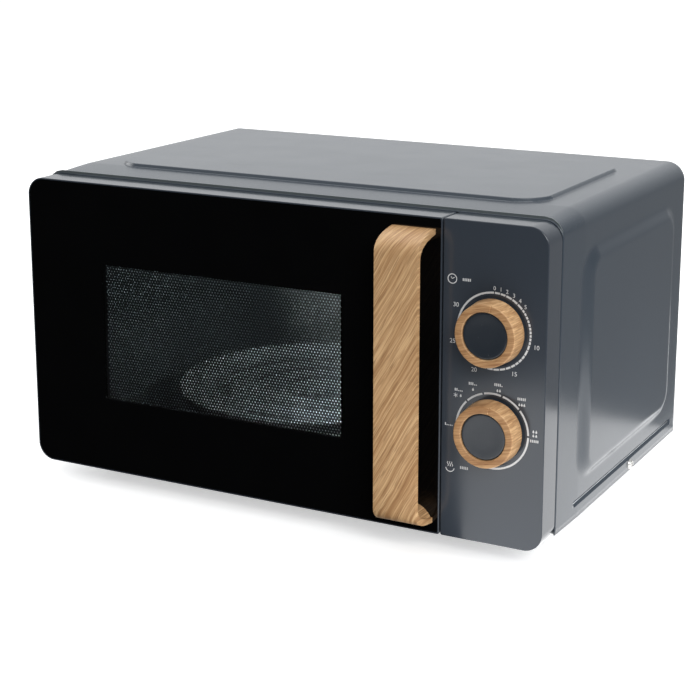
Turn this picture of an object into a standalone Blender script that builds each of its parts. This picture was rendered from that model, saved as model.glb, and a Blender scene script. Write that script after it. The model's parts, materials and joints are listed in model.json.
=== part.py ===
"""Countertop microwave oven with a left-hinged door, a wooden pull handle and two dials.

Every piece is modelled in the frame of the front face: X to the right, Y back from the front
face, Z up from the lower edge of the front. An empty then sets that frame down so that the
whole oven stands on Z = 0, centred on X = Y = 0. All lengths are in metres.
"""
import math

import bmesh
import bpy
from mathutils import Matrix, Vector

# ---------------------------------------------------------------- driving dimensions
FRONT_WIDTH = 0.451
FRONT_HEIGHT = 0.2386
BEZEL_DEPTH = 0.0255          # door and control panel, front to back
BODY_DEPTH = 0.305            # front face to the casing's rear edge
HANDLE_REACH = 0.029          # handle in front of the door
REAR_STANDOFF = 0.008         # bumps on the rear panel, behind the casing
FOOT_DROP = 0.014             # feet below the front's lower edge
GAP = 0.0003                  # clearance between pieces that touch
SHEET = 0.001                 # steel sheet
BEZEL_RADIUS = 0.0145
EDGE_RADIUS = 0.0015
SEAM = 0.001                  # between the door and the control panel

FRONT_HALF = FRONT_WIDTH / 2
MIDDLE_Z = FRONT_HEIGHT / 2
SEAM_X = 0.1448
DOOR_RIGHT = SEAM_X - SEAM / 2
PANEL_LEFT = SEAM_X + SEAM / 2
DOOR_BACK = BEZEL_DEPTH - 0.0006

# outer casing
CASE_HALF = FRONT_HALF + 0.0013
CASE_FRONT = BEZEL_DEPTH + 0.001
CASE_BOTTOM = 0.0055
CASE_TOP = 0.2425
CASE_RADIUS = 0.0155
CASE_LIP = 0.012
SIDE_PANEL_RISE = 0.004
TOP_PANEL_RISE = 0.0025

# cavity, the inside of its walls
CAVITY_LEFT = -0.1995
CAVITY_RIGHT = 0.1065
CAVITY_FLOOR = 0.022
CAVITY_CEILING = 0.216
CAVITY_BACK = 0.299
FRONT_PLATE_Y = CASE_FRONT + 0.0005

# turntable
TURNTABLE_X = (CAVITY_LEFT + CAVITY_RIGHT) / 2
TURNTABLE_Y = 0.164
TRAY_RADIUS = 0.1225
ROLLER_RADIUS = 0.0072
ROLLER_TRACK = 0.089          # circle on which the middle of each roller runs
ROLLER_WIDTH = 0.005
ROLLER_Z = CAVITY_FLOOR + GAP + ROLLER_RADIUS
TRAY_BOTTOM = ROLLER_Z + ROLLER_RADIUS + GAP

# dials
KNOB_X = 0.1853
TIMER_Z = 0.1606
POWER_Z = 0.0866
KNOB_BASE_RADIUS = 0.024
KNOB_FRONT_RADIUS = 0.0229
KNOB_RIM_RADIUS = 0.0174
KNOB_REACH = 0.017
POINTER_ANGLE = math.radians(12.5)
SPINDLE_RADIUS = 0.003

# door hinge
HINGE_RADIUS = 0.011
HINGE_X = -FRONT_HALF + HINGE_RADIUS
HINGE_Y = DOOR_BACK - HINGE_RADIUS
PIN_RADIUS = 0.002
NECK_HALF_WIDTH = 0.0035
NECK_THICKNESS = 0.002
NECK_OFFSET = 0.1081          # from the middle of the door's height to the neck's middle

# handle
HANDLE_X = 0.12185
HANDLE_WIDTH = 0.0345
HANDLE_HALF_HEIGHT = 0.1107
HANDLE_THICKNESS = 0.004
# Guide points of the handle's bend, from the door to its front: (back, above the handle's end)
HANDLE_BEND = [(0.001, 0.0003), (-0.017, -0.0015), (-HANDLE_REACH, -0.0055), (-HANDLE_REACH, -0.0150)]
HANDLE_BEND_STEPS = 12
FOOT_ARC_RADIUS = 0.0179
FOOT_ARC_OFFSET = 0.1151      # from the middle of the handle to the centre of a foot's arc
HANDLE_SCREW_OFFSET = 0.1005

# latch
LATCH_X = 0.130
LATCH_THICKNESS = 0.004
HOOK_REACH = 0.043
HOOK_HEIGHTS = (0.062, 0.176)  # lower edge of each hook's arm
HOOK_ARM = 0.008
HOOK_BARB = 0.006

# fan and electronics
FAN_X = 0.168
FAN_Z = 0.145
FAN_Y = 0.282
BAY_LEFT = CAVITY_RIGHT + SHEET + GAP

FRONT_OF_AXIS = (math.radians(90), 0, 0)     # turns a local +Z towards the front
SIDEWAYS = (math.radians(90), 0, math.radians(90))

for old in list(bpy.data.objects):
    bpy.data.objects.remove(old)

parts = bpy.data.collections.new("microwave_oven")
cutters = bpy.data.collections.new("cutters")
bpy.context.scene.collection.children.link(parts)
bpy.context.scene.collection.children.link(cutters)

assembly = bpy.data.objects.new("assembly", None)
assembly.location = (0, (HANDLE_REACH - BODY_DEPTH - REAR_STANDOFF) / 2, FOOT_DROP)
parts.objects.link(assembly)


# ---------------------------------------------------------------- materials
def material(name, colour, roughness, metallic=0.0, alpha=1.0):
    """A Principled material; the colour is linear RGB."""
    made = bpy.data.materials.new(name)
    made.use_nodes = True
    shader = made.node_tree.nodes["Principled BSDF"]
    shader.inputs["Base Color"].default_value = (*colour, 1.0)
    shader.inputs["Roughness"].default_value = roughness
    shader.inputs["Metallic"].default_value = metallic
    shader.inputs["Alpha"].default_value = alpha
    made.diffuse_color = (*colour, 1.0)
    return made


GREY_PAINT = material("grey_paint", (0.10, 0.125, 0.155), 0.35)
GREY_PLASTIC = material("grey_plastic", (0.10, 0.125, 0.155), 0.3)
DIAL_GREY = material("dial_grey", (0.035, 0.045, 0.06), 0.3)
OAK = material("oak", (0.56, 0.36, 0.19), 0.5)
BLACK_GLASS = material("black_glass", (0.004, 0.004, 0.004), 0.05)
CLEAR_GLASS = material("clear_glass", (0.8, 0.9, 0.88), 0.05, alpha=0.35)
CLEAR_FILM = material("clear_film", (0.8, 0.85, 0.85), 0.1, alpha=0.3)
CAVITY_PAINT = material("cavity_paint", (0.55, 0.57, 0.58), 0.35)
ZINC_STEEL = material("zinc_steel", (0.55, 0.56, 0.56), 0.4, 1.0)
BRIGHT_STEEL = material("bright_steel", (0.7, 0.7, 0.68), 0.25, 1.0)
LAMINATED_STEEL = material("laminated_steel", (0.2, 0.2, 0.21), 0.5, 1.0)
COPPER = material("copper", (0.6, 0.26, 0.12), 0.35, 1.0)
ALUMINIUM = material("aluminium", (0.75, 0.76, 0.77), 0.3, 1.0)
BLACK_PLASTIC = material("black_plastic", (0.02, 0.02, 0.022), 0.5)
WHITE_PLASTIC = material("white_plastic", (0.75, 0.74, 0.7), 0.45)
MICA = material("mica", (0.5, 0.45, 0.36), 0.5)
RUBBER = material("rubber", (0.015, 0.015, 0.015), 0.8)
CIRCUIT_BOARD = material("circuit_board", (0.32, 0.22, 0.1), 0.5)
RED_WIRE = material("red_wire", (0.45, 0.03, 0.02), 0.5)


# ---------------------------------------------------------------- modelling helpers
def add(name, mesh, look=None, location=(0, 0, 0), rotation=(0, 0, 0)):
    """An object in the front face's frame: a part if it has a look, or else a cutter."""
    made = bpy.data.objects.new(name, mesh)
    made.location = location
    made.rotation_euler = rotation
    made.parent = assembly
    if look is None:
        cutters.objects.link(made)
        made.hide_render = True
        made.display_type = "WIRE"
    else:
        parts.objects.link(made)
        mesh.materials.append(look)
    return made


def box(name, low, high, look=None):
    """A box between two corners."""
    low = Vector(low)
    high = Vector(high)
    shape = bmesh.new()
    bmesh.ops.create_cube(shape, size=1.0)
    bmesh.ops.scale(shape, vec=high - low, verts=shape.verts)
    mesh = bpy.data.meshes.new(name)
    shape.to_mesh(mesh)
    shape.free()
    return add(name, mesh, look, (low + high) / 2)


def cylinder(name, radius, length, centre, rotation=(0, 0, 0), look=None, sides=24):
    """A cylinder about its centre, along its local Z."""
    shape = bmesh.new()
    bmesh.ops.create_cone(shape, cap_ends=True, segments=sides, radius1=radius,
                          radius2=radius, depth=length)
    mesh = bpy.data.meshes.new(name)
    shape.to_mesh(mesh)
    shape.free()
    return add(name, mesh, look, centre, rotation)


def frustum(name, base, top, height, radius, location, rotation=(0, 0, 0), look=None):
    """A raised panel: a box whose top rectangle is smaller, with rounded sloping corners."""
    shape = bmesh.new()
    bmesh.ops.create_cube(shape, size=1.0)
    for vertex in shape.verts:
        left, right, near, far = top if vertex.co.z > 0 else base
        vertex.co = (right if vertex.co.x > 0 else left,
                     far if vertex.co.y > 0 else near,
                     height if vertex.co.z > 0 else 0)
    slopes = [edge for edge in shape.edges
              if abs(edge.verts[0].co.z - edge.verts[1].co.z) > height / 2]
    bmesh.ops.bevel(shape, geom=slopes, offset=radius, segments=4, profile=0.5,
                    affect="EDGES")
    mesh = bpy.data.meshes.new(name)
    shape.to_mesh(mesh)
    shape.free()
    return add(name, mesh, look, location, rotation)


def turned(name, profile, location, rotation=(0, 0, 0), look=None, steps=32, ring=False):
    """A profile of (radius, height) points turned about local Z; a ring has a hole."""
    count = len(profile)
    edges = [(i, i + 1) for i in range(count - 1)]
    if ring:
        edges.append((count - 1, 0))
    mesh = bpy.data.meshes.new(name)
    mesh.from_pydata([(radius, 0, height) for radius, height in profile], edges, [])
    made = add(name, mesh, look, location, rotation)
    spin = made.modifiers.new("turn", "SCREW")
    spin.steps = steps
    spin.render_steps = steps
    spin.use_merge_vertices = True
    spin.merge_threshold = 0.00005
    spin.use_smooth_shade = False
    return made


def arc(centre, radius, start, end, count=5):
    """Points along an arc, its angles in degrees."""
    steps = [start + (end - start) * i / (count - 1) for i in range(count)]
    return [(centre[0] + radius * math.cos(math.radians(angle)),
             centre[1] + radius * math.sin(math.radians(angle))) for angle in steps]


def rounded(left, right, low, high, radii):
    """A rectangle with rounded corners; radii run from the upper right, anticlockwise."""
    upper_right, upper_left, lower_left, lower_right = radii
    points = arc((right - upper_right, high - upper_right), upper_right, 0, 90)
    points += arc((left + upper_left, high - upper_left), upper_left, 90, 180)
    points += arc((left + lower_left, low + lower_left), lower_left, 180, 270)
    points += arc((right - lower_right, low + lower_right), lower_right, 270, 360)
    return points


def slab(name, outlines, near, far, rotation=FRONT_OF_AXIS, look=None):
    """Flat outlines, the later ones holes in the first, made as thick as near to far.

    With the default rotation the outlines lie in XZ and the thickness runs along Y.
    Otherwise they lie in YZ (SIDEWAYS, thickness along X) or in XY (none, along Z).
    """
    curve = bpy.data.curves.new(name, "CURVE")
    curve.dimensions = "2D"
    curve.fill_mode = "BOTH"
    curve.extrude = (far - near) / 2
    for outline in outlines:
        spline = curve.splines.new("POLY")
        spline.points.add(len(outline) - 1)
        for point, (x, y) in zip(spline.points, outline):
            point.co = (x, y, 0, 1)
        spline.use_cyclic_u = True
    guide = bpy.data.objects.new(name, curve)
    cutters.objects.link(guide)
    bpy.context.view_layer.update()
    evaluated = guide.evaluated_get(bpy.context.evaluated_depsgraph_get())
    mesh = bpy.data.meshes.new_from_object(evaluated)
    bpy.data.objects.remove(guide)
    bpy.data.curves.remove(curve)
    shape = bmesh.new()
    shape.from_mesh(mesh)
    bmesh.ops.remove_doubles(shape, verts=shape.verts, dist=0.00001)
    bmesh.ops.recalc_face_normals(shape, faces=shape.faces)
    shape.to_mesh(mesh)
    shape.free()
    mesh.name = name
    mesh.materials.clear()
    middle = (near + far) / 2
    if rotation == FRONT_OF_AXIS:
        location = (0, middle, 0)
    elif rotation == SIDEWAYS:
        location = (middle, 0, 0)
    else:
        location = (0, 0, middle)
    return add(name, mesh, look, location, rotation)


def combine(target, operation, others):
    """Boolean the other objects into a part or a cutter."""
    for other in others:
        step = target.modifiers.new(other.name, "BOOLEAN")
        step.operation = operation
        step.solver = "EXACT"
        step.object = other


def cut(target, *others):
    combine(target, "DIFFERENCE", others)


def join(target, *others):
    combine(target, "UNION", others)


def pivot(name, location, moving):
    """An empty on a joint's axis that carries the pieces that move about it."""
    empty = bpy.data.objects.new(name, None)
    parts.objects.link(empty)
    empty.parent = assembly
    empty.location = location
    for piece in moving:
        piece.parent = empty
        piece.matrix_parent_inverse = Matrix.Translation(-Vector(location))
    return empty


# ---------------------------------------------------------------- casing and chassis
def side_panel(name, inward, side):
    """The panel pressed outwards from one side of the casing."""
    overlap = 0.0005
    base = (0.062, 0.281, 0.033, 0.210)
    top = (0.081, 0.265, 0.042, 0.201)
    if side < 0:
        base = tuple(-limit for limit in (base[1], base[0])) + base[2:]
        top = tuple(-limit for limit in (top[1], top[0])) + top[2:]
    turn = SIDEWAYS if side > 0 else (math.radians(90), 0, math.radians(-90))
    start = side * (CASE_HALF - overlap - inward)
    return frustum(name, base, top, SIDE_PANEL_RISE + overlap, 0.016, (start, 0, 0), turn)


def top_panel(name, inward):
    """The panel pressed upwards from the casing's top."""
    overlap = 0.0005
    base = (-0.193, 0.193, 0.066, 0.255)
    top = (-0.189, 0.189, 0.070, 0.251)
    start = CASE_TOP - overlap - inward
    return frustum(name, base, top, TOP_PANEL_RISE + overlap, 0.026, (0, 0, start))


def build_casing():
    corner = (CASE_RADIUS, CASE_RADIUS, 0.0002, 0.0002)
    inner_corner = (CASE_RADIUS - SHEET, CASE_RADIUS - SHEET, 0.0002, 0.0002)
    outside = rounded(-CASE_HALF, CASE_HALF, CASE_BOTTOM, CASE_TOP, corner)
    inside = rounded(SHEET - CASE_HALF, CASE_HALF - SHEET, -0.02, CASE_TOP - SHEET, inner_corner)
    casing = slab("outer_casing", [outside], CASE_FRONT, BODY_DEPTH, look=GREY_PAINT)
    join(casing, top_panel("top_press", 0),
         side_panel("right_press", 0, 1), side_panel("left_press", 0, -1))
    hollow = slab("casing_hollow", [inside], CASE_FRONT - 0.01, BODY_DEPTH - SHEET)
    lip = CASE_HALF - CASE_LIP
    rear = box("casing_rear_opening", (-lip, BODY_DEPTH - 0.01, -0.02),
               (lip, BODY_DEPTH + 0.01, CASE_TOP - CASE_LIP))
    cut(casing, hollow, top_panel("top_press_inside", SHEET),
        side_panel("right_press_inside", SHEET, 1),
        side_panel("left_press_inside", SHEET, -1), rear)
    for side, label in ((1, "right"), (-1, "left")):
        cut(casing, cylinder(f"casing_screw_hole_{label}", 0.0021, 0.01,
                             (side * CASE_HALF, 0.188, 0.0105), SIDEWAYS, sides=12))


def build_base_plate():
    half = CASE_HALF - SHEET - GAP
    near = FRONT_PLATE_Y + SHEET + 0.0022
    far = BODY_DEPTH - 0.003
    bottom = 0.005
    plate = box("base_plate", (-half, near, bottom), (half, far, 0.018), ZINC_STEEL)
    cut(plate, box("base_inside", (SHEET - half, near + SHEET, bottom + SHEET),
                   (half - SHEET, far - SHEET, 0.03)))
    for row in range(5):
        y = 0.060 + row * 0.008
        cut(plate, box(f"base_vent_{row}", (0.135, y, 0), (0.205, y + 0.003, 0.01)))
    for side, label in ((1, "right"), (-1, "left")):
        cut(plate, cylinder(f"base_screw_hole_{label}", 0.0021, 0.01,
                            (side * half, 0.188, 0.0105), SIDEWAYS, sides=12))


def build_feet():
    height = FOOT_DROP + 0.005 - GAP
    profile = [(0, height), (0.013, height), (0.013, height - 0.004), (0.011, 0.001),
               (0.010, 0), (0, 0)]
    for x, across in ((-0.185, "left"), (0.185, "right")):
        for y, along in ((0.062, "front"), (0.268, "rear")):
            turned(f"foot_{along}_{across}", profile, (x, y, -FOOT_DROP), look=RUBBER, steps=20)


def build_rear_panel():
    half = CASE_HALF - SHEET - 0.0006
    near = BODY_DEPTH - 0.0026
    far = near + 0.0012
    top = CASE_TOP - SHEET - 0.0006
    corners = (0.013, 0.013, 0.0005, 0.0005)
    panel = slab("rear_panel", [rounded(-half, half, 0.0055, top, corners)], near, far,
                 look=GREY_PAINT)
    for row in range(9):
        z = 0.100 + row * 0.0095
        cut(panel, box(f"intake_slot_{row}", (0.126, near - 0.01, z), (0.205, far + 0.01, z + 0.004)))
    for row in range(6):
        z = 0.160 + row * 0.0085
        cut(panel, box(f"outlet_slot_{row}", (-0.190, near - 0.01, z),
                       (-0.130, far + 0.01, z + 0.0035)))
    height = BODY_DEPTH + REAR_STANDOFF - far
    backwards = (math.radians(-90), 0, 0)
    for x, label in ((-0.100, "left"), (0.060, "right")):
        base = (x - 0.030, x + 0.030, -0.132, -0.108)
        top_face = (x - 0.024, x + 0.024, -0.126, -0.114)
        join(panel, frustum(f"bump_{label}", base, top_face, height + 0.0005, 0.004,
                            (0, far - 0.0005, 0), backwards))
        cut(panel, frustum(f"bump_inside_{label}", base, top_face, height, 0.004,
                           (0, far - 0.0005 - SHEET, 0), backwards))
    cut(panel, cylinder("cord_inlet_hole", 0.0075, 0.02, (0.195, near, 0.040),
                        FRONT_OF_AXIS, sides=20))


def build_cord_grommet():
    """The rubber bush in the rear panel through which the mains cord would enter."""
    front = 0.0105
    profile = [(0.0100, front), (0.0100, 0.0065), (0.0071, 0.0065), (0.0071, 0.0045),
               (0.0095, 0.0045), (0.0085, -0.001), (0.0038, -0.001), (0.0038, front)]
    turned("cord_grommet", profile, (0.195, BODY_DEPTH + 0.0033, 0.040), FRONT_OF_AXIS,
           RUBBER, 20, ring=True)


def build_casing_screws():
    profile = [(0, 0.0012), (0.0030, 0.0012), (0.0042, 0.0), (0.0042, -0.0006),
               (0.0017, -0.0006), (0.0017, -0.008), (0, -0.008)]
    for side, label in ((1, "right"), (-1, "left")):
        turn = (0, math.radians(90 * side), 0)
        turned(f"casing_screw_{label}", profile,
               (side * (CASE_HALF + 0.0006 + GAP), 0.188, 0.0105), turn, BRIGHT_STEEL, 12)


# ---------------------------------------------------------------- cavity
def build_front_plate():
    half = CASE_HALF - SHEET - 0.0005
    top = CASE_TOP - SHEET - 0.0005
    outline = rounded(-half, half, CASE_BOTTOM + 0.0005, top, (0.014, 0.014, 0.001, 0.001))
    mouth = rounded(CAVITY_LEFT, CAVITY_RIGHT, CAVITY_FLOOR, CAVITY_CEILING, (0.006,) * 4)
    bay = rounded(0.152, 0.219, 0.040, 0.205, (0.004,) * 4)
    openings = [outline, mouth, bay]
    for low in HOOK_HEIGHTS:
        openings.append(rounded(LATCH_X - 0.0045, LATCH_X + 0.0045, low - HOOK_BARB - 0.002,
                                low + HOOK_ARM + 0.006, (0.001,) * 4))
    for way in (1, -1):
        middle = MIDDLE_Z + way * NECK_OFFSET
        openings.append(rounded(HINGE_X - 0.004, HINGE_X + 0.004, middle - 0.0015,
                                middle + 0.0015, (0.0003,) * 4))
    slab("cavity_front_plate", openings, FRONT_PLATE_Y, FRONT_PLATE_Y + SHEET, look=CAVITY_PAINT)


def build_cavity():
    near = FRONT_PLATE_Y + SHEET + GAP
    floor = CAVITY_FLOOR - SHEET
    ceiling = CAVITY_CEILING + SHEET
    cavity = slab("oven_cavity", [rounded(CAVITY_LEFT - SHEET, CAVITY_RIGHT + SHEET, floor,
                                          ceiling, (0.007,) * 4)],
                  near, CAVITY_BACK + SHEET, look=CAVITY_PAINT)
    cut(cavity, slab("cavity_inside", [rounded(CAVITY_LEFT, CAVITY_RIGHT, CAVITY_FLOOR,
                                               CAVITY_CEILING, (0.006,) * 4)],
                     near - 0.01, CAVITY_BACK))
    cut(cavity, cylinder("drive_hole", 0.0065, 0.02, (TURNTABLE_X, TURNTABLE_Y, CAVITY_FLOOR)))
    cut(cavity, box("waveguide_port", (CAVITY_RIGHT - 0.01, 0.143, 0.124),
                    (CAVITY_RIGHT + 0.01, 0.192, 0.156)))
    for row in range(4):
        y = 0.062 + row * 0.007
        cut(cavity, box(f"lamp_slot_{row}", (CAVITY_RIGHT - 0.01, y, 0.158),
                        (CAVITY_RIGHT + 0.01, y + 0.003, 0.176)))
        cut(cavity, box(f"steam_slot_{row}", (CAVITY_LEFT - 0.01, y + 0.18, 0.180),
                        (CAVITY_LEFT + 0.01, y + 0.183, 0.200)))


def build_waveguide():
    left = BAY_LEFT
    right = 0.1290
    guide = box("waveguide", (left, 0.120, 0.118), (right, 0.200, 0.178), ZINC_STEEL)
    cut(guide, box("waveguide_inside", (left - 0.01, 0.121, 0.119), (right - SHEET, 0.199, 0.177)))
    cut(guide, cylinder("antenna_hole", 0.0095, 0.02, (right, 0.165, 0.1475), SIDEWAYS))
    box("waveguide_cover", (CAVITY_RIGHT - 0.0013, 0.136, 0.116),
        (CAVITY_RIGHT - GAP, 0.200, 0.164), MICA)


def build_lamp():
    """The cavity lamp and its holder, outside the cavity's right wall."""
    profile = [(0, 0.020), (0.006, 0.020), (0.0085, 0.016), (0.0085, 0.010), (0.0065, 0.006),
               (0.010, 0.006), (0.010, -0.010), (0, -0.010)]
    turned("cavity_lamp", profile, (0.128 + 0.0015, 0.0765, 0.167), (0, math.radians(-90), 0),
           WHITE_PLASTIC, 20)


# ---------------------------------------------------------------- turntable
def build_turntable():
    centre = (TURNTABLE_X, TURNTABLE_Y, 0)
    top = TRAY_BOTTOM + 0.004
    tray = turned("glass_tray",
                  [(0, top), (0.108, top), (0.1155, top + 0.0025), (0.1205, top + 0.009),
                   (TRAY_RADIUS, top + 0.009), (0.1185, top), (0.1095, TRAY_BOTTOM),
                   (0, TRAY_BOTTOM)], centre, look=CLEAR_GLASS, steps=48)
    hub_top = TRAY_BOTTOM - GAP
    coupler = turned("turntable_coupler",
                     [(0, hub_top), (0.0115, hub_top), (0.0115, 0.0235), (0.0035, 0.0235),
                      (0.0035, 0.0175), (0, 0.0175)], centre, look=WHITE_PLASTIC, steps=24)
    for turn in range(3):
        wing = box(f"coupler_wing_{turn}", (0, -0.004, 0.0262), (0.019, 0.004, hub_top - 0.0002))
        swing = math.radians(120 * turn)
        reach = Vector((0.0095, 0, wing.location.z))
        reach.rotate(Matrix.Rotation(swing, 3, "Z"))
        wing.location = reach + Vector(centre)
        wing.rotation_euler = (0, 0, swing)
        join(coupler, wing)
    pivot("turntable_axis", centre, [tray, coupler])


def build_rollers():
    centre = (TURNTABLE_X, TURNTABLE_Y, 0)
    ring = turned("roller_ring",
                  [(0.0840, ROLLER_Z + 0.0035), (0.0840, ROLLER_Z - 0.0035),
                   (0.0780, ROLLER_Z - 0.0035), (0.0780, ROLLER_Z + 0.0035)],
                  centre, look=WHITE_PLASTIC, steps=48, ring=True)
    for turn in range(3):
        swing = math.radians(90 + 120 * turn)
        outward = Vector((math.cos(swing), math.sin(swing), 0))
        lie = (math.radians(90), 0, swing + math.radians(90))
        stub = cylinder(f"roller_stub_{turn}", 0.0015, 0.014,
                        Vector(centre) + outward * (ROLLER_TRACK - 0.004) + Vector((0, 0, ROLLER_Z)),
                        lie, sides=12)
        join(ring, stub)
        half = ROLLER_WIDTH / 2
        profile = [(ROLLER_RADIUS, half), (ROLLER_RADIUS, -half), (0.0019, -half), (0.0019, half)]
        at = Vector(centre) + outward * ROLLER_TRACK + Vector((0, 0, ROLLER_Z))
        turned(f"roller_{turn + 1}", profile, at, lie, WHITE_PLASTIC, 20, ring=True)
    pivot("roller_ring_axis", centre, [ring])


def build_turntable_motor():
    bottom = 0.0063
    motor = cylinder("turntable_motor", 0.0245, CAVITY_FLOOR - SHEET - 0.0005 - bottom,
                     (TURNTABLE_X, TURNTABLE_Y, (bottom + CAVITY_FLOOR - SHEET - 0.0005) / 2),
                     look=ZINC_STEEL, sides=32)
    join(motor, box("motor_terminals", (TURNTABLE_X + 0.020, TURNTABLE_Y - 0.007, bottom + 0.001),
                    (TURNTABLE_X + 0.031, TURNTABLE_Y + 0.007, 0.018)))
    cut(motor, cylinder("motor_bore", 0.0040, 0.01, (TURNTABLE_X, TURNTABLE_Y, 0.0215)))


# ---------------------------------------------------------------- electronics
def build_magnetron():
    y0, y1, z0, z1 = 0.130, 0.200, 0.105, 0.190
    left = 0.1290 + GAP
    right = 0.190
    wall = 0.0016
    yoke = box("magnetron_yoke", (left, y0, z0), (right, y1, z1), ZINC_STEEL)
    cut(yoke, box("yoke_inside", (left + wall, y0 - 0.01, z0 + wall),
                  (right - wall, y1 + 0.01, z1 - wall)))
    middle = (z0 + z1) / 2
    cut(yoke, cylinder("yoke_antenna_hole", 0.0095, 0.01, (left, 0.165, middle), SIDEWAYS))
    anode_left = left + wall + GAP
    anode_right = right - wall - GAP
    fins = cylinder("magnetron_fins", 0.017, anode_right - anode_left,
                    ((anode_left + anode_right) / 2, 0.165, middle), SIDEWAYS, ALUMINIUM, 20)
    count = 6
    pitch = (anode_right - anode_left) / (count + 1)
    for index in range(count):
        x = anode_left + pitch * (index + 1)
        join(fins, box(f"fin_{index}", (x - 0.0005, y0 + 0.002, z0 + wall + GAP),
                       (x + 0.0005, y1 - 0.002, z1 - wall - GAP)))
    join(fins, cylinder("antenna", 0.0080, 0.022, (0.1225 + 0.001, 0.165, middle), SIDEWAYS))
    join(yoke, box("filter_box", (right - 0.001, 0.141, 0.120), (0.216, 0.189, 0.175)))


def build_transformer():
    x0, x1, y0, y1, z0, z1 = 0.130, 0.215, 0.108, 0.162, 0.0063, 0.0790
    window = 0.019
    leg = 0.0225
    core = box("transformer_core", (x0, y0, z0), (x1, y1, z1), LAMINATED_STEEL)
    middle = (x0 + x1) / 2
    for way, label in ((1, "right"), (-1, "left")):
        near = middle + way * leg / 2
        far = near + way * window
        cut(core, box(f"core_window_{label}", (min(near, far), y0 - 0.01, z0 + 0.012),
                      (max(near, far), y1 + 0.01, z1 - 0.012)))
    for name, low, high in (("primary_winding", z0 + 0.0125, 0.0405),
                            ("secondary_winding", 0.0412, z1 - 0.0125)):
        inner_x = leg / 2 + 0.0005
        inner_y = (y1 - y0) / 2 + 0.0005
        turns = window - 0.001
        centre_y = (y0 + y1) / 2
        hole = rounded(middle - inner_x, middle + inner_x, centre_y - inner_y,
                       centre_y + inner_y, (0.0005,) * 4)
        outer = rounded(middle - inner_x - turns, middle + inner_x + turns,
                        centre_y - inner_y - turns, centre_y + inner_y + turns, (0.012,) * 4)
        slab(name, [outer, hole], low, high, (0, 0, 0), COPPER)


def build_capacitor():
    x0, x1, y, radius = 0.145, 0.200, 0.217, 0.016
    outline = arc((x1 - radius, y), radius, -90, 90, 9) + arc((x0 + radius, y), radius, 90, 270, 9)
    can = slab("high_voltage_capacitor", [outline], 0.0063, 0.080, (0, 0, 0), ALUMINIUM)
    for index, x in enumerate((x0 + 0.016, x1 - 0.016)):
        join(can, box(f"terminal_{index}", (x - 0.003, y - 0.0005, 0.079), (x + 0.003, y + 0.0005, 0.089)))


def build_fan():
    half = 0.050
    near = 0.2745
    far = 0.2905
    shroud = box("fan_shroud", (FAN_X - half, near, FAN_Z - half), (FAN_X + half, far, FAN_Z + half),
                 BLACK_PLASTIC)
    cut(shroud, cylinder("fan_duct", 0.0435, 0.04, (FAN_X, FAN_Y, FAN_Z), FRONT_OF_AXIS, sides=32))
    join(shroud, box("fan_strut", (FAN_X - 0.046, near + 0.0002, FAN_Z - 0.005),
                     (FAN_X + 0.046, near + 0.0022, FAN_Z + 0.005)))
    cut(shroud, cylinder("strut_hole", 0.0045, 0.01, (FAN_X, near, FAN_Z), FRONT_OF_AXIS, sides=12))
    blade = cylinder("fan_blade", 0.011, 0.0095, (FAN_X, 0.2838, FAN_Z), FRONT_OF_AXIS, WHITE_PLASTIC, 20)
    join(blade, cylinder("fan_shaft", 0.0016, 0.026, (FAN_X, 0.2755, FAN_Z), FRONT_OF_AXIS, sides=12))
    vanes = 5
    for index in range(vanes):
        swing = math.radians(360 / vanes * index + 10)
        vane = box(f"fan_vane_{index}", (-0.0155, -0.0007, -0.009), (0.0155, 0.0007, 0.009))
        vane.rotation_mode = "QUATERNION"
        twist = Matrix.Rotation(swing, 3, "Y") @ Matrix.Rotation(math.radians(25), 3, "X")
        vane.rotation_quaternion = twist.to_quaternion()
        reach = Matrix.Rotation(swing, 3, "Y") @ Vector((0.0235, 0, 0))
        vane.location = reach + Vector((FAN_X, 0.2838, FAN_Z))
        join(blade, vane)
    pivot("fan_axis", (FAN_X, FAN_Y, FAN_Z), [blade])
    motor = box("fan_motor", (FAN_X - 0.028, 0.250, FAN_Z - 0.022), (FAN_X + 0.022, 0.268, FAN_Z + 0.022),
                LAMINATED_STEEL)
    join(motor, box("fan_coil", (FAN_X - 0.024, 0.243, FAN_Z - 0.012),
                    (FAN_X - 0.008, 0.2735, FAN_Z + 0.012)))
    cut(motor, cylinder("fan_motor_bore", 0.0021, 0.012, (FAN_X, 0.266, FAN_Z), FRONT_OF_AXIS, sides=12))
    guide = box("air_guide", (FAN_X - half, 0.2005, FAN_Z - half), (FAN_X + half, near - GAP, FAN_Z + half),
                BLACK_PLASTIC)
    cut(guide, box("air_guide_inside", (FAN_X - half + 0.0015, 0.19, FAN_Z - half + 0.0015),
                   (FAN_X + half - 0.0015, near + 0.01, FAN_Z + half - 0.0015)))


def build_filter_board():
    board = box("filter_board", (0.118, 0.2900, 0.022), (0.182, 0.2916, 0.090), CIRCUIT_BOARD)
    join(board, box("filter_capacitor", (0.124, 0.2750, 0.060), (0.148, 0.2902, 0.082)),
         cylinder("choke_coil", 0.011, 0.014, (0.165, 0.2835, 0.070), FRONT_OF_AXIS, sides=20),
         box("fuse", (0.124, 0.2820, 0.036), (0.154, 0.2902, 0.044)))


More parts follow.
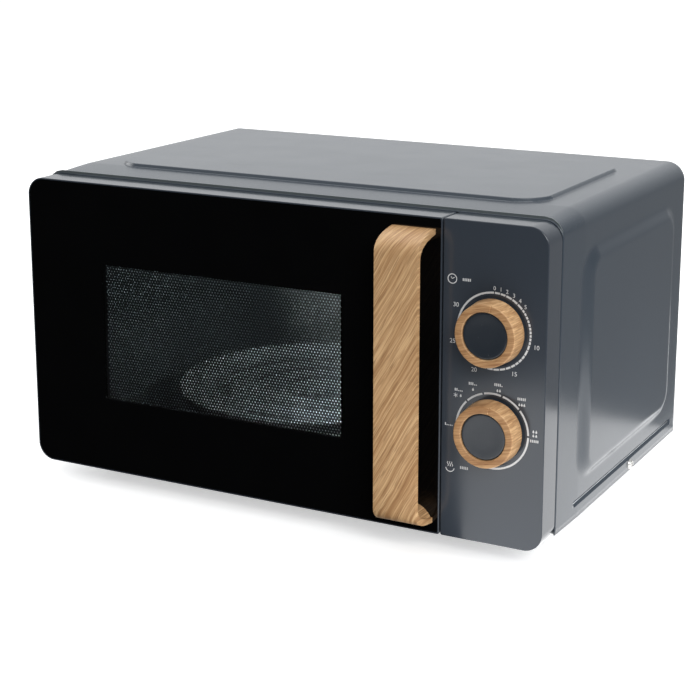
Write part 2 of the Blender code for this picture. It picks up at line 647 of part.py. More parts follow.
def build_high_voltage_lead():
    """The insulated wire from the capacitor up to the magnetron's filter box."""
    start = Vector((0.184, 0.2145, 0.0860))
    end = Vector((0.2035, 0.165, 0.1195))
    first = start + Vector((0.002, -0.026, -0.006))
    second = end + Vector((0, 0.005, -0.024))
    points = []
    count = 13
    for index in range(count):
        t = index / (count - 1)
        points.append((1 - t) ** 3 * start + 3 * (1 - t) ** 2 * t * first
                      + 3 * (1 - t) * t ** 2 * second + t ** 3 * end)
    curve = bpy.data.curves.new("high_voltage_lead", "CURVE")
    curve.dimensions = "3D"
    curve.bevel_depth = 0.0016
    curve.bevel_resolution = 2
    curve.use_fill_caps = True
    spline = curve.splines.new("POLY")
    spline.points.add(count - 1)
    for point, place in zip(spline.points, points):
        point.co = (*place, 1)
    curve.materials.append(RED_WIRE)
    lead = bpy.data.objects.new("high_voltage_lead", curve)
    lead.parent = assembly
    parts.objects.link(lead)


# ---------------------------------------------------------------- controls
def build_control_panel():
    corners = (BEZEL_RADIUS, EDGE_RADIUS, EDGE_RADIUS, BEZEL_RADIUS)
    inset = 0.0022
    inner = (BEZEL_RADIUS - inset, 0.001, 0.001, BEZEL_RADIUS - inset)
    panel = slab("control_panel", [rounded(PANEL_LEFT, FRONT_HALF, 0, FRONT_HEIGHT, corners)],
                 0, BEZEL_DEPTH, look=GREY_PLASTIC)
    cut(panel, slab("panel_inside", [rounded(PANEL_LEFT + inset, FRONT_HALF - inset, inset,
                                             FRONT_HEIGHT - inset, inner)], 0.0025, 0.04))
    for z, label in ((TIMER_Z, "timer"), (POWER_Z, "power")):
        cut(panel, cylinder(f"{label}_panel_hole", 0.0045, 0.02, (KNOB_X, 0, z), FRONT_OF_AXIS))


def build_timer():
    unit = box("timer_unit", (KNOB_X - 0.0255, 0.004, TIMER_Z - 0.026),
               (KNOB_X + 0.0255, 0.039, TIMER_Z + 0.026), WHITE_PLASTIC)
    cut(unit, cylinder("timer_bore", SPINDLE_RADIUS + 0.0004, 0.016, (KNOB_X, 0.004, TIMER_Z),
                       FRONT_OF_AXIS, sides=20))
    profile = [(0, 0.010), (0.008, 0.0098), (0.015, 0.007), (0.0195, 0), (0.0185, 0),
               (0.0142, 0.0062), (0.0075, 0.0088), (0.0033, 0.009), (0.0033, 0), (0, 0)]
    turned("timer_bell", profile, (KNOB_X, 0.0393, TIMER_Z), (math.radians(-90), 0, 0),
           BRIGHT_STEEL, 24)
    selector = box("power_selector", (KNOB_X - 0.022, 0.004, POWER_Z - 0.022),
                   (KNOB_X + 0.022, 0.030, POWER_Z + 0.022), WHITE_PLASTIC)
    cut(selector, cylinder("selector_bore", SPINDLE_RADIUS + 0.0004, 0.016, (KNOB_X, 0.004, POWER_Z),
                           FRONT_OF_AXIS, sides=20))


def build_knob(label, z):
    """A wooden ring, the grey cap inside it and the spindle behind it."""
    centre = (KNOB_X, 0, z)
    back = 0.0012
    chamfer = 0.0008
    ring = turned(f"{label}_knob_ring",
                  [(KNOB_RIM_RADIUS + chamfer, KNOB_REACH),
                   (KNOB_FRONT_RADIUS - chamfer, KNOB_REACH),
                   (KNOB_FRONT_RADIUS, KNOB_REACH - chamfer), (KNOB_BASE_RADIUS, back),
                   (KNOB_RIM_RADIUS, back), (KNOB_RIM_RADIUS, KNOB_REACH - chamfer)],
                  centre, FRONT_OF_AXIS, OAK, 40, ring=True)
    notch = box(f"{label}_pointer", (-0.0006, -KNOB_REACH - 0.001, -0.0035),
                (0.0006, -KNOB_REACH + 0.0008, 0.0035))
    reach = (KNOB_RIM_RADIUS + KNOB_FRONT_RADIUS) / 2
    notch.location = (KNOB_X + reach * math.sin(POINTER_ANGLE), -KNOB_REACH - 0.0001,
                      z + reach * math.cos(POINTER_ANGLE))
    notch.rotation_euler = (0, POINTER_ANGLE, 0)
    cut(ring, notch)
    face = KNOB_REACH - 0.0015
    rim = KNOB_RIM_RADIUS - GAP
    cap = turned(f"{label}_knob_cap",
                 [(0, face), (rim - 0.0008, face), (rim, face - 0.0006), (rim, 0.006),
                  (0.006, 0.006), (0.006, back), (0, back)],
                 centre, FRONT_OF_AXIS, DIAL_GREY, 32)
    cut(cap, cylinder(f"{label}_socket", SPINDLE_RADIUS + GAP, 0.014, (KNOB_X, -0.003, z),
                      FRONT_OF_AXIS, sides=20))
    spindle = cylinder(f"{label}_spindle", SPINDLE_RADIUS, 0.0185, (KNOB_X, 0.0002, z),
                       FRONT_OF_AXIS, BRIGHT_STEEL, 20)
    pivot(f"{label}_axis", centre, [ring, cap, spindle])


# ---------------------------------------------------------------- door
def hinge_notch(label, way):
    """The space in the door through which a hinge's neck swings."""
    middle = MIDDLE_Z + way * NECK_OFFSET
    room = NECK_THICKNESS / 2 + 0.0006
    return box(f"neck_notch_{label}", (-FRONT_HALF - 0.001, 0.0085, middle - room),
               (HINGE_X + 0.0055, BEZEL_DEPTH + 0.001, middle + room))


def build_door_frame():
    corners = (EDGE_RADIUS, BEZEL_RADIUS, BEZEL_RADIUS, EDGE_RADIUS)
    frame = slab("door_frame", [rounded(-FRONT_HALF, DOOR_RIGHT, 0, FRONT_HEIGHT, corners)],
                 0, DOOR_BACK, look=GREY_PLASTIC)
    rim = 0.002
    front = (0.001, BEZEL_RADIUS - rim, BEZEL_RADIUS - rim, 0.001)
    cut(frame, slab("glass_recess", [rounded(rim - FRONT_HALF, DOOR_RIGHT - rim, rim,
                                             FRONT_HEIGHT - rim, front)], -0.01, 0.0035))
    wall = 0.0023
    cut(frame, slab("door_inside", [rounded(0.008 - FRONT_HALF, DOOR_RIGHT - wall, wall,
                                            FRONT_HEIGHT - wall, (0.001, 0.004, 0.004, 0.001))],
                    0.0065, 0.04))
    cut(frame, slab("door_opening", [rounded(-0.203, 0.092, 0.018, FRONT_HEIGHT - 0.018,
                                             (0.003,) * 4)], -0.01, 0.02))
    back_edge = [(-FRONT_HALF - 0.001, HINGE_Y)]
    back_edge += arc((HINGE_X, HINGE_Y), HINGE_RADIUS, 180, 90, 7)
    back_edge += [(HINGE_X, DOOR_BACK + 0.001), (-FRONT_HALF - 0.001, DOOR_BACK + 0.001)]
    cut(frame, slab("back_edge_rounding", [back_edge], -0.01, FRONT_HEIGHT + 0.01, (0, 0, 0)))
    for way, label in ((1, "upper"), (-1, "lower")):
        near = MIDDLE_Z + way * (NECK_OFFSET - 0.001)
        far = MIDDLE_Z + way * (NECK_OFFSET - 0.014)
        join(frame, box(f"hinge_bush_{label}", (-FRONT_HALF + 0.004, 0.005, min(near, far)),
                        (HINGE_X + 0.0075, HINGE_Y + 0.006, max(near, far))))
    for way, label in ((1, "upper"), (-1, "lower")):
        cut(frame, hinge_notch(label, way))
        cut(frame, cylinder(f"pin_hole_{label}", PIN_RADIUS + GAP, 0.024,
                            (HINGE_X, HINGE_Y, MIDDLE_Z + way * (NECK_OFFSET - 0.006)), sides=16))
        cut(frame, cylinder(f"frame_screw_hole_{label}", 0.0024, 0.02,
                            (HANDLE_X, 0.005, MIDDLE_Z + way * HANDLE_SCREW_OFFSET),
                            FRONT_OF_AXIS, sides=12))
    return frame


def build_door_glass():
    inset = 0.002 + GAP
    corners = (0.0008, BEZEL_RADIUS - inset, BEZEL_RADIUS - inset, 0.0008)
    outline = rounded(inset - FRONT_HALF, DOOR_RIGHT - inset, inset, FRONT_HEIGHT - inset, corners)
    holes = [arc((HANDLE_X, MIDDLE_Z + way * HANDLE_SCREW_OFFSET), 0.0024, 0, 330, 12)
             for way in (1, -1)]
    return slab("door_glass", [outline] + holes, 0.0002, 0.0032, look=BLACK_GLASS)


def build_screen_panel():
    """The pressed steel pan whose face carries the perforated screen."""
    left, right, low, high = -0.206, 0.113, 0.0155, FRONT_HEIGHT - 0.0155
    near, far = 0.0068, 0.0225
    pan = box("door_screen_panel", (left, near, low), (right, far, high), BLACK_PLASTIC)
    cut(pan, box("pan_inside", (left + SHEET, near + 0.0008, low + SHEET),
                 (right - SHEET, far + 0.01, high - SHEET)))
    film = box("door_inner_film", (-0.196, near + 0.0011, 0.0260), (0.103, near + 0.0018, 0.2125),
               CLEAR_FILM)
    return [pan, film]


def build_choke_cover():
    outline = rounded(0.0083 - FRONT_HALF, DOOR_RIGHT - 0.0026, 0.0026, FRONT_HEIGHT - 0.0026,
                      (0.001, 0.004, 0.004, 0.001))
    window = rounded(-0.195, 0.102, 0.0265, 0.2115, (0.004,) * 4)
    openings = [outline, window]
    for low in HOOK_HEIGHTS:
        openings.append(rounded(LATCH_X - 0.0035, LATCH_X + 0.0035, low - HOOK_BARB - 0.001,
                                low + HOOK_ARM + 0.005, (0.0005,) * 4))
    cover = slab("choke_cover", openings, 0.0228, DOOR_BACK - 0.0002, look=BLACK_PLASTIC)
    for way, label in ((1, "cover_upper"), (-1, "cover_lower")):
        cut(cover, hinge_notch(label, way))
    return cover


def handle_profile(offset):
    """The handle's side outline, moved inwards by an offset; Y runs back, Z up."""
    end = HANDLE_HALF_HEIGHT - offset
    upper = []
    for step in range(HANDLE_BEND_STEPS + 1):
        t = step / HANDLE_BEND_STEPS
        weights = ((1 - t) ** 3, 3 * t * (1 - t) ** 2, 3 * t * t * (1 - t), t ** 3)
        y = sum(weight * back for weight, (back, rise) in zip(weights, HANDLE_BEND))
        z = sum(weight * rise for weight, (back, rise) in zip(weights, HANDLE_BEND))
        upper.append((y + offset, end + z))
    lower = [(y, -z) for y, z in reversed(upper)]
    return [(y, z + MIDDLE_Z) for y, z in upper + lower]


def build_handle():
    half = HANDLE_WIDTH / 2
    handle = slab("door_handle", [handle_profile(0)], HANDLE_X - half, HANDLE_X + half,
                  SIDEWAYS, OAK)
    space = slab("finger_space", [handle_profile(HANDLE_THICKNESS)], HANDLE_X - half - 0.01,
                 HANDLE_X + half + 0.01, SIDEWAYS)
    for way, label in ((1, "upper"), (-1, "lower")):
        cut(space, cylinder(f"handle_foot_{label}", FOOT_ARC_RADIUS, 0.08,
                            (HANDLE_X, 0, MIDDLE_Z + way * FOOT_ARC_OFFSET), FRONT_OF_AXIS, sides=48))
    cut(handle, space)
    cut(handle, box("handle_back_trim", (HANDLE_X - 0.03, -0.0001, -0.01),
                    (HANDLE_X + 0.03, 0.01, FRONT_HEIGHT + 0.01)))
    screws = []
    for way, label in ((1, "upper"), (-1, "lower")):
        z = MIDDLE_Z + way * HANDLE_SCREW_OFFSET
        cut(handle, cylinder(f"handle_screw_hole_{label}", 0.0024, 0.03, (HANDLE_X, 0, z),
                             FRONT_OF_AXIS, sides=12))
        profile = [(0, 0.013), (0.0018, 0.012), (0.0018, -0.0069), (0.004, -0.0069),
                   (0.004, -0.0085), (0.003, -0.0095), (0, -0.0095)]
        screws.append(turned(f"handle_screw_{label}", profile, (HANDLE_X, 0, z), FRONT_OF_AXIS,
                             BRIGHT_STEEL, 12))
    return [handle] + screws


def build_latch():
    """The sprung slider in the door, with a hook at each end."""
    near = 0.0085
    bar = 0.0165
    low, high = HOOK_HEIGHTS
    outline = [(near, low), (bar, low)]
    for base in HOOK_HEIGHTS:
        outline += [(bar, base), (HOOK_REACH - 0.0055, base), (HOOK_REACH - 0.0055, base - HOOK_BARB),
                    (HOOK_REACH - 0.002, base - HOOK_BARB), (HOOK_REACH, base),
                    (HOOK_REACH - 0.002, base + HOOK_ARM), (bar, base + HOOK_ARM)]
    outline = outline[:1] + outline[2:] + [(near, high + HOOK_ARM)]
    hooks = slab("latch_hooks", [outline], LATCH_X - LATCH_THICKNESS / 2,
                 LATCH_X + LATCH_THICKNESS / 2, SIDEWAYS, WHITE_PLASTIC)
    turns = 5
    per_turn = 8
    bottom = 0.031
    top = low - 0.0009
    radius = 0.0026
    curve = bpy.data.curves.new("latch_spring", "CURVE")
    curve.dimensions = "3D"
    curve.bevel_depth = 0.0005
    curve.bevel_resolution = 2
    curve.use_fill_caps = True
    spline = curve.splines.new("POLY")
    count = turns * per_turn + 1
    spline.points.add(count - 1)
    for index, point in enumerate(spline.points):
        angle = 2 * math.pi * index / per_turn
        rise = bottom + (top - bottom) * index / (count - 1)
        point.co = (LATCH_X + radius * math.cos(angle), 0.0125 + radius * math.sin(angle), rise, 1)
    curve.materials.append(BRIGHT_STEEL)
    spring = bpy.data.objects.new("latch_spring", curve)
    spring.parent = assembly
    parts.objects.link(spring)
    return [hooks, spring]


def build_hinges():
    """Steel brackets behind the front plate; each reaches into the door with a pin."""
    for way, label in ((1, "upper"), (-1, "lower")):
        middle = MIDDLE_Z + way * NECK_OFFSET
        half = NECK_THICKNESS / 2
        back = FRONT_PLATE_Y + SHEET + GAP
        neck = box(f"hinge_{label}", (HINGE_X - NECK_HALF_WIDTH, HINGE_Y, middle - half),
                   (HINGE_X + NECK_HALF_WIDTH, back + 0.0013, middle + half), ZINC_STEEL)
        join(neck, cylinder(f"neck_end_{label}", NECK_HALF_WIDTH + 0.0001, NECK_THICKNESS - 0.0002,
                            (HINGE_X, HINGE_Y, middle), sides=20))
        join(neck, cylinder(f"hinge_pin_{label}", PIN_RADIUS, 0.0105,
                            (HINGE_X, HINGE_Y, middle - way * 0.0055), sides=16))
        inner = middle - way * 0.020
        outer = middle + way * half
        join(neck, box(f"hinge_flange_{label}", (HINGE_X - 0.0085, back, min(inner, outer)),
                       (HINGE_X + 0.0095, back + 0.0015, max(inner, outer))))


def build_interlock():
    near = FRONT_PLATE_Y + SHEET + GAP
    left = LATCH_X + 0.0047
    bracket = box("interlock_bracket", (left, near, 0.045), (left + 0.002, 0.060, 0.195), BLACK_PLASTIC)
    join(bracket, box("bracket_flange", (left, near, 0.045), (left + 0.016, near + 0.002, 0.195)))
    for index, low in enumerate(HOOK_HEIGHTS):
        join(bracket, box(f"hook_ledge_{index}", (LATCH_X - 0.003, near + 0.0012, low - HOOK_BARB - 0.007),
                          (left + 0.0005, 0.0365, low - HOOK_BARB - 0.001)))
    for z, label in ((0.072, "lower"), (0.120, "middle"), (0.168, "upper")):
        start = left + 0.002 + GAP
        switch = box(f"microswitch_{label}", (start, 0.0325, z - 0.008),
                     (start + 0.0103, 0.0600, z + 0.008), BLACK_PLASTIC)
        join(switch, box(f"switch_button_{label}", (start + 0.003, 0.0310, z - 0.003),
                         (start + 0.007, 0.0330, z + 0.003)))


def build_door():
    pieces = [build_door_frame(), build_door_glass(), build_choke_cover()]
    pieces += build_screen_panel()
    pieces += build_handle()
    pieces += build_latch()
    pivot("door_axis", (HINGE_X, HINGE_Y, 0), pieces)


build_casing()
build_base_plate()
build_feet()
build_rear_panel()
build_cord_grommet()
build_casing_screws()
build_front_plate()
build_cavity()
build_waveguide()
build_lamp()
build_turntable()
build_rollers()
build_turntable_motor()
build_magnetron()
build_transformer()
build_capacitor()
build_fan()
build_filter_board()
build_high_voltage_lead()
build_control_panel()
build_timer()
build_knob("timer", TIMER_Z)
build_knob("power", POWER_Z)
build_hinges()
build_interlock()
build_door()
bpy.context.view_layer.update()
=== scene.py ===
"""Looks of a countertop microwave oven, built around its CAD frame.

Lengths are in metres. Inner places are given from the front face: x to the right, y back from
the face, z up from the lower edge of the front, as at() reads them.
"""
import json
import math

import bmesh
import bpy
from mathutils import Matrix, Vector


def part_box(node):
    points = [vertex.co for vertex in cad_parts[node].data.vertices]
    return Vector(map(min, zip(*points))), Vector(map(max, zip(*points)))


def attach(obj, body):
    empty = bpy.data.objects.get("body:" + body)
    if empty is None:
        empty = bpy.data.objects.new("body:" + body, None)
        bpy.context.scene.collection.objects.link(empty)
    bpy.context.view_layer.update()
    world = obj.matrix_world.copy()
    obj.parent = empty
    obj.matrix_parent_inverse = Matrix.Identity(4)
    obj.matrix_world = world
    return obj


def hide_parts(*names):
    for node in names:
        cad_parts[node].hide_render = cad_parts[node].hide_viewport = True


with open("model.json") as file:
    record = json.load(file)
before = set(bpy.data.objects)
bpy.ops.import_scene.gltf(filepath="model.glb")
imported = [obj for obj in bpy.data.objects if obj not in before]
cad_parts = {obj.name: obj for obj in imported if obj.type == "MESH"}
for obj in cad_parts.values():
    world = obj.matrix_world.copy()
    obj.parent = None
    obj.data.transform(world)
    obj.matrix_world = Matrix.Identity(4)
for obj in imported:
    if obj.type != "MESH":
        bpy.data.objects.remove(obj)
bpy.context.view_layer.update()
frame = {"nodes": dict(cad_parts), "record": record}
record = frame["record"]
nodes = frame["nodes"]
slot_of_node = {part["node"]: part["material_slot"] for part in record["subparts"]}

FACE_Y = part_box("control_panel")[0].y
FACE_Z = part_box("control_panel")[0].z
SHEET = 0.001
CLEAR = 0.01


def at(x, y, z):
    """A point measured from the lower edge of the front face."""
    return Vector((x, FACE_Y + y, FACE_Z + z))


def local_box(node):
    """A CAD node's lowest and highest corner, measured from the front face."""
    low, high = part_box(node)
    start = Vector((0, FACE_Y, FACE_Z))
    return low - start, high - start


def dial_centre(label):
    """Where a dial's axis meets the front plane."""
    start, end = local_box(f"{label}_knob_ring")
    return (start.x + end.x) / 2, (start.z + end.z) / 2


def standing(node):
    """The middle of a CAD node's underside, and its height."""
    low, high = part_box(node)
    return Vector(((low.x + high.x) / 2, (low.y + high.y) / 2, low.z)), high.z - low.z


# ---------------------------------------------------------------- materials
def added(tree, kind, inputs, settings):
    """A new node in a tree, its inputs linked to sockets or set to values."""
    made = tree.nodes.new(kind)
    for key, value in settings.items():
        setattr(made, key, value)
    for key, value in inputs.items():
        if isinstance(value, bpy.types.NodeSocket):
            tree.links.new(value, made.inputs[key])
        else:
            made.inputs[key].default_value = value
    return made


class Look:
    """A material with its Principled shader and a short way to add nodes."""

    def __init__(self, name, **constants):
        self.material = bpy.data.materials.new(name)
        self.material.use_nodes = True
        self.tree = self.material.node_tree
        self.shader = self.tree.nodes["Principled BSDF"]
        for socket, value in constants.items():
            self.shader.inputs[socket.replace("_", " ")].default_value = value
        self.place = self.node("ShaderNodeTexCoord").outputs["Object"]

    def node(self, kind, inputs=None, **settings):
        return added(self.tree, kind, inputs or {}, settings)

    def drive(self, socket, source):
        self.tree.links.new(source, self.shader.inputs[socket])

    def noise(self, scale, detail=2.0, place=None, roughness=0.5):
        made = self.node("ShaderNodeTexNoise",
                         {"Vector": place or self.place, "Scale": scale, "Detail": detail,
                          "Roughness": roughness})
        return made.outputs["Fac"]

    def turned(self, rotation=(0, 0, 0), scale=(1, 1, 1), location=(0, 0, 0), place=None):
        made = self.node("ShaderNodeMapping", {"Vector": place or self.place, "Rotation": rotation,
                                               "Scale": scale, "Location": location})
        return made.outputs["Vector"]

    def ramp(self, factor, *stops):
        made = self.node("ShaderNodeValToRGB", {"Fac": factor})
        bar = made.color_ramp
        while len(bar.elements) < len(stops):
            bar.elements.new(0.5)
        for element, (position, colour) in zip(bar.elements, stops):
            element.position = position
            element.color = (*colour, 1) if len(colour) == 3 else colour
        return made.outputs["Color"]

    def span(self, factor, low, high):
        """The factor's 0..1 stretched to low..high."""
        made = self.node("ShaderNodeMapRange", {"Value": factor, "To Min": low, "To Max": high})
        return made.outputs["Result"]

    def mix(self, factor, first, second, blend="MIX"):
        made = self.node("ShaderNodeMix", data_type="RGBA", blend_type=blend)
        for key, value in ((0, factor), (6, first), (7, second)):
            if isinstance(value, bpy.types.NodeSocket):
                self.tree.links.new(value, made.inputs[key])
            elif key == 0:
                made.inputs[key].default_value = value
            else:
                made.inputs[key].default_value = (*value, 1)
        return made.outputs[2]

    def bump(self, height, strength, distance):
        made = self.node("ShaderNodeBump", {"Height": height, "Strength": strength,
                                            "Distance": distance})
        self.drive("Normal", made.outputs["Normal"])


def scaled(colour, factor):
    return tuple(channel * factor for channel in colour)


def scaled_by(colour, tint):
    return tuple(channel * factor for channel, factor in zip(colour, tint))


def finish_of(name, colour, roughness, spread=0.12, grain=900.0, patch=14.0, bump=0.1,
              depth=0.00005, stretch=(1, 1, 1), **constants):
    """Moulded or painted stock: slow tone drift, fine grain, and grain in the gloss."""
    look = Look(name, **constants)
    cloud = look.noise(patch, 3)
    fine = look.noise(grain, 2, look.turned(scale=stretch))
    tone = look.mix(cloud, scaled(colour, 1 - spread), scaled(colour, 1 + spread))
    speck = look.ramp(fine, (0.3, (0.86, 0.86, 0.86)), (0.7, (1.0, 1.0, 1.0)))
    look.drive("Base Color", look.mix(0.6, tone, speck, "MULTIPLY"))
    look.drive("Roughness", look.span(look.noise(grain * 0.25, 3), roughness - 0.05, roughness + 0.07))
    look.bump(fine, bump, depth)
    return look.material


BODY_BLUE = (0.035, 0.043, 0.055)
ENAMEL_BLUE = (0.035, 0.046, 0.060)
OAK_LIGHT = (0.72, 0.50, 0.29)
OAK_MIDDLE = (0.55, 0.345, 0.180)
OAK_DARK = (0.34, 0.185, 0.085)
OAK_SWAY = 0.0028
PRINT_BLACK = (0.0016, 0.0017, 0.0019)
PRINT_BLACK_WORN = (0.0026, 0.0027, 0.0030)


def painted_steel():
    """Satin stove enamel with a faint orange peel and a little wear in the gloss."""
    look = Look("blue_grey_enamel", IOR=1.52)
    tone = look.mix(look.noise(9, 4), scaled(ENAMEL_BLUE, 0.93), scaled(ENAMEL_BLUE, 1.06))
    speck = look.ramp(look.noise(1900, 1), (0.45, (0, 0, 0)), (0.75, (1, 1, 1)))
    look.drive("Base Color", look.mix(look.span(speck, 0, 0.12), tone, scaled(BODY_BLUE, 2.2)))
    look.drive("Roughness", look.span(look.noise(22, 4), 0.20, 0.26))
    look.bump(look.noise(520, 2), 0.05, 0.00004)
    return look.material


def bezel_plastic():
    """Moulded plastic in the casing's colour: finer grain and a smoother gloss."""
    look = Look("blue_grey_plastic")
    tone = look.mix(look.noise(12, 3), scaled(BODY_BLUE, 0.95), scaled(BODY_BLUE, 1.05))
    look.drive("Base Color", tone)
    look.drive("Roughness", look.span(look.noise(60, 4), 0.12, 0.19))
    look.bump(look.noise(1700, 1), 0.04, 0.00002)
    return look.material


def oak(name, lean, along, tint=(1, 1, 1), front=(1, 1, 1)):
    """Light oak, its grain leaning by an angle in the piece's front plane.

    along is the axis that the grain follows before it leans: "Z" for a plank or "X". front
    tints the faces that look forwards.
    """
    look = Look(name, Specular_IOR_Level=0.35)
    stretch = (1, 0.04, 0.018) if along == "Z" else (0.03, 0.06, 1)
    turned = look.turned(rotation=(0, lean, 0))
    drift = look.node("ShaderNodeTexNoise", {"Vector": turned, "Scale": 26, "Detail": 2})
    sway = look.node("ShaderNodeVectorMath", {0: drift.outputs["Color"], 1: (OAK_SWAY,) * 3},
                     operation="MULTIPLY")
    bent = look.node("ShaderNodeVectorMath", {0: turned, 1: sway.outputs[0]}, operation="ADD")
    board = look.turned(scale=stretch, place=bent.outputs[0])
    broad = look.noise(90, 2, board)
    bands = look.noise(540, 2, board, 0.6)
    fibre = look.noise(1400, 2, board, 0.7)
    short = look.turned(scale=(1, 1, 3) if along == "Z" else (3, 1, 1), place=board)
    pores = look.ramp(look.noise(1250, 1, short), (0.58, (0, 0, 0)), (0.68, (1, 1, 1)))
    light, middle, dark = (scaled_by(tone, tint) for tone in (OAK_LIGHT, OAK_MIDDLE, OAK_DARK))
    tone = look.ramp(bands, (0.30, dark), (0.45, middle), (0.58, light))
    tone = look.mix(look.ramp(broad, (0.38, (0, 0, 0)), (0.64, (0.45, 0.45, 0.45))), tone, light)
    tone = look.mix(look.ramp(fibre, (0.42, (0.60,) * 3), (0.60, (0, 0, 0))), tone, dark)
    tone = look.mix(look.span(pores, 0.0, 0.5), tone, scaled(dark, 0.7))
    outward = look.node("ShaderNodeTexCoord").outputs["Normal"]
    facing = look.node("ShaderNodeSeparateXYZ", {0: outward}).outputs["Y"]
    share = look.node("ShaderNodeMapRange", {"Value": facing, "From Min": -0.6, "From Max": -0.95})
    look.drive("Base Color", look.mix(share.outputs["Result"], tone,
                                      look.mix(1.0, tone, front, "MULTIPLY")))
    look.drive("Roughness", look.span(bands, 0.38, 0.55))
    height = look.node("ShaderNodeMath", {0: fibre, 1: pores}, operation="SUBTRACT").outputs[0]
    look.bump(height, 0.25, 0.00010)
    return look.material


def black_glass():
    """Glass printed black on its back: deep black under a polished face."""
    look = Look("black_glass", IOR=1.5, Specular_IOR_Level=0.3)
    look.drive("Base Color", look.mix(look.noise(30, 2), PRINT_BLACK, PRINT_BLACK_WORN))
    look.drive("Roughness", look.span(look.noise(26, 5, roughness=0.65), 0.02, 0.07))
    return look.material


def clear_look(name, tint, gloss, roughness, haze):
    """Thin clear stock: it passes light straight on, and mirrors by its angle."""
    look = Look(name)
    look.tree.nodes.remove(look.shader)
    fresnel = look.node("ShaderNodeFresnel", {"IOR": gloss}).outputs[0]
    clear = look.node("ShaderNodeBsdfTransparent", {"Color": (*tint, 1)})
    shine = look.node("ShaderNodeBsdfGlossy", {"Roughness": roughness})
    dust = look.node("ShaderNodeBsdfDiffuse", {"Color": (0.75, 0.8, 0.82, 1)})
    cloudy = look.span(look.noise(45, 4), haze * 0.95, haze * 1.05)
    seen = look.node("ShaderNodeMixShader", {0: cloudy, 1: clear.outputs[0], 2: dust.outputs[0]})
    both = look.node("ShaderNodeMixShader", {0: fresnel, 1: seen.outputs[0], 2: shine.outputs[0]})
    look.tree.links.new(both.outputs[0], look.tree.nodes["Material Output"].inputs["Surface"])
    return look.material


def steel(name, colour, roughness, flake, stretch=(1, 1, 1)):
    """Bare metal: crystals or brush marks that show in the tone and the gloss."""
    look = Look(name, Metallic=1.0)
    cells = look.node("ShaderNodeTexVoronoi", {"Vector": look.turned(scale=stretch),
                                               "Scale": flake}).outputs["Color"]
    tone = look.mix(look.node("ShaderNodeSeparateColor", {0: cells}).outputs[0],
                    scaled(colour, 0.8), scaled(colour, 1.08))
    look.drive("Base Color", tone)
    brushed = look.noise(flake * 6, 3, look.turned(scale=stretch))
    look.drive("Roughness", look.span(brushed, roughness - 0.1, roughness + 0.14))
    look.bump(brushed, 0.08, 0.00005)
    return look.material


def layered(name, scale, wobble, axis, dark, light, strength, depth, **constants):
    """Thin layers side by side: wound wire, or stacked sheets."""
    look = Look(name, **constants)
    layers = look.node("ShaderNodeTexWave", {"Vector": look.place, "Scale": scale,
                                             "Distortion": wobble},
                       wave_type="BANDS", bands_direction=axis).outputs["Fac"]
    look.drive("Base Color", look.mix(layers, dark, light))
    look.bump(layers, strength, depth)
    return look.material


LOOKS = {
    "grey_paint": painted_steel(),
    "grey_plastic": bezel_plastic(),
    "dial_grey": finish_of("dial_grey", (0.015, 0.020, 0.027), 0.24, 0.1, 1500, bump=0.05),
    "oak": oak("oak_plank", math.radians(-30), "Z", (0.88, 0.83, 0.75)),
    "black_glass": black_glass(),
    "clear_glass": clear_look("tray_glass", (0.80, 0.88, 0.87), 1.5, 0.05, 0.45),
    "clear_film": clear_look("clear_film", (0.93, 0.95, 0.95), 1.35, 0.12, 0.03),
    "cavity_paint": finish_of("cavity_enamel", (0.095, 0.112, 0.118), 0.3, 0.06, 700, bump=0.15),
    "zinc_steel": steel("zinc_steel", (0.52, 0.54, 0.56), 0.38, 160),
    "bright_steel": steel("bright_steel", (0.74, 0.73, 0.71), 0.22, 900, (1, 1, 0.1)),
    "laminated_steel": layered("laminated_steel", 320.0, 0.2, "Y", (0.05, 0.05, 0.055),
                               (0.24, 0.24, 0.25), 0.5, 0.0002, Metallic=0.8, Roughness=0.45),
    "copper": layered("lacquered_copper", 260.0, 0.6, "Z", (0.24, 0.075, 0.025),
                      (0.66, 0.27, 0.11), 0.6, 0.0003, Metallic=0.9, Roughness=0.3),
    "aluminium": steel("aluminium", (0.78, 0.79, 0.80), 0.28, 500, (0.1, 1, 1)),
    "black_plastic": finish_of("black_plastic", (0.016, 0.016, 0.018), 0.45, 0.15, 1300, bump=0.15),
    "white_plastic": finish_of("white_plastic", (0.70, 0.69, 0.65), 0.42, 0.05, 900),
    "mica": finish_of("mica_sheet", (0.46, 0.41, 0.33), 0.35, 0.3, 260, 40, stretch=(1, 0.3, 1)),
    "rubber": finish_of("black_rubber", (0.014, 0.014, 0.015), 0.7, 0.2, 800, bump=0.3),
    "circuit_board": finish_of("circuit_board", (0.26, 0.17, 0.075), 0.4, 0.2, 500, 60),
    "red_wire": finish_of("silicone_wire", (0.42, 0.025, 0.018), 0.45, 0.1, 900),
}
KNOB_OAK = oak("oak_knob", math.radians(12), "X", (1.0, 0.93, 0.84), (0.68, 0.62, 0.56))
INK = finish_of("white_ink", (0.60, 0.61, 0.62), 0.5, 0.05, 1500, bump=0.05)
SCREEN_STEEL = finish_of("screen_enamel", (0.004, 0.0045, 0.005), 0.5, 0.1, 1500, bump=0.05)
WINDOW_GLASS = clear_look("window_glass", (0.90, 0.93, 0.95), 1.5, 0.02, 0.001)
SHADOW_GAP = finish_of("vent_shadow", (0.006, 0.006, 0.006), 0.7)

for node, thing in nodes.items():
    thing.data.materials.clear()
    thing.data.materials.append(LOOKS[slot_of_node[node]])


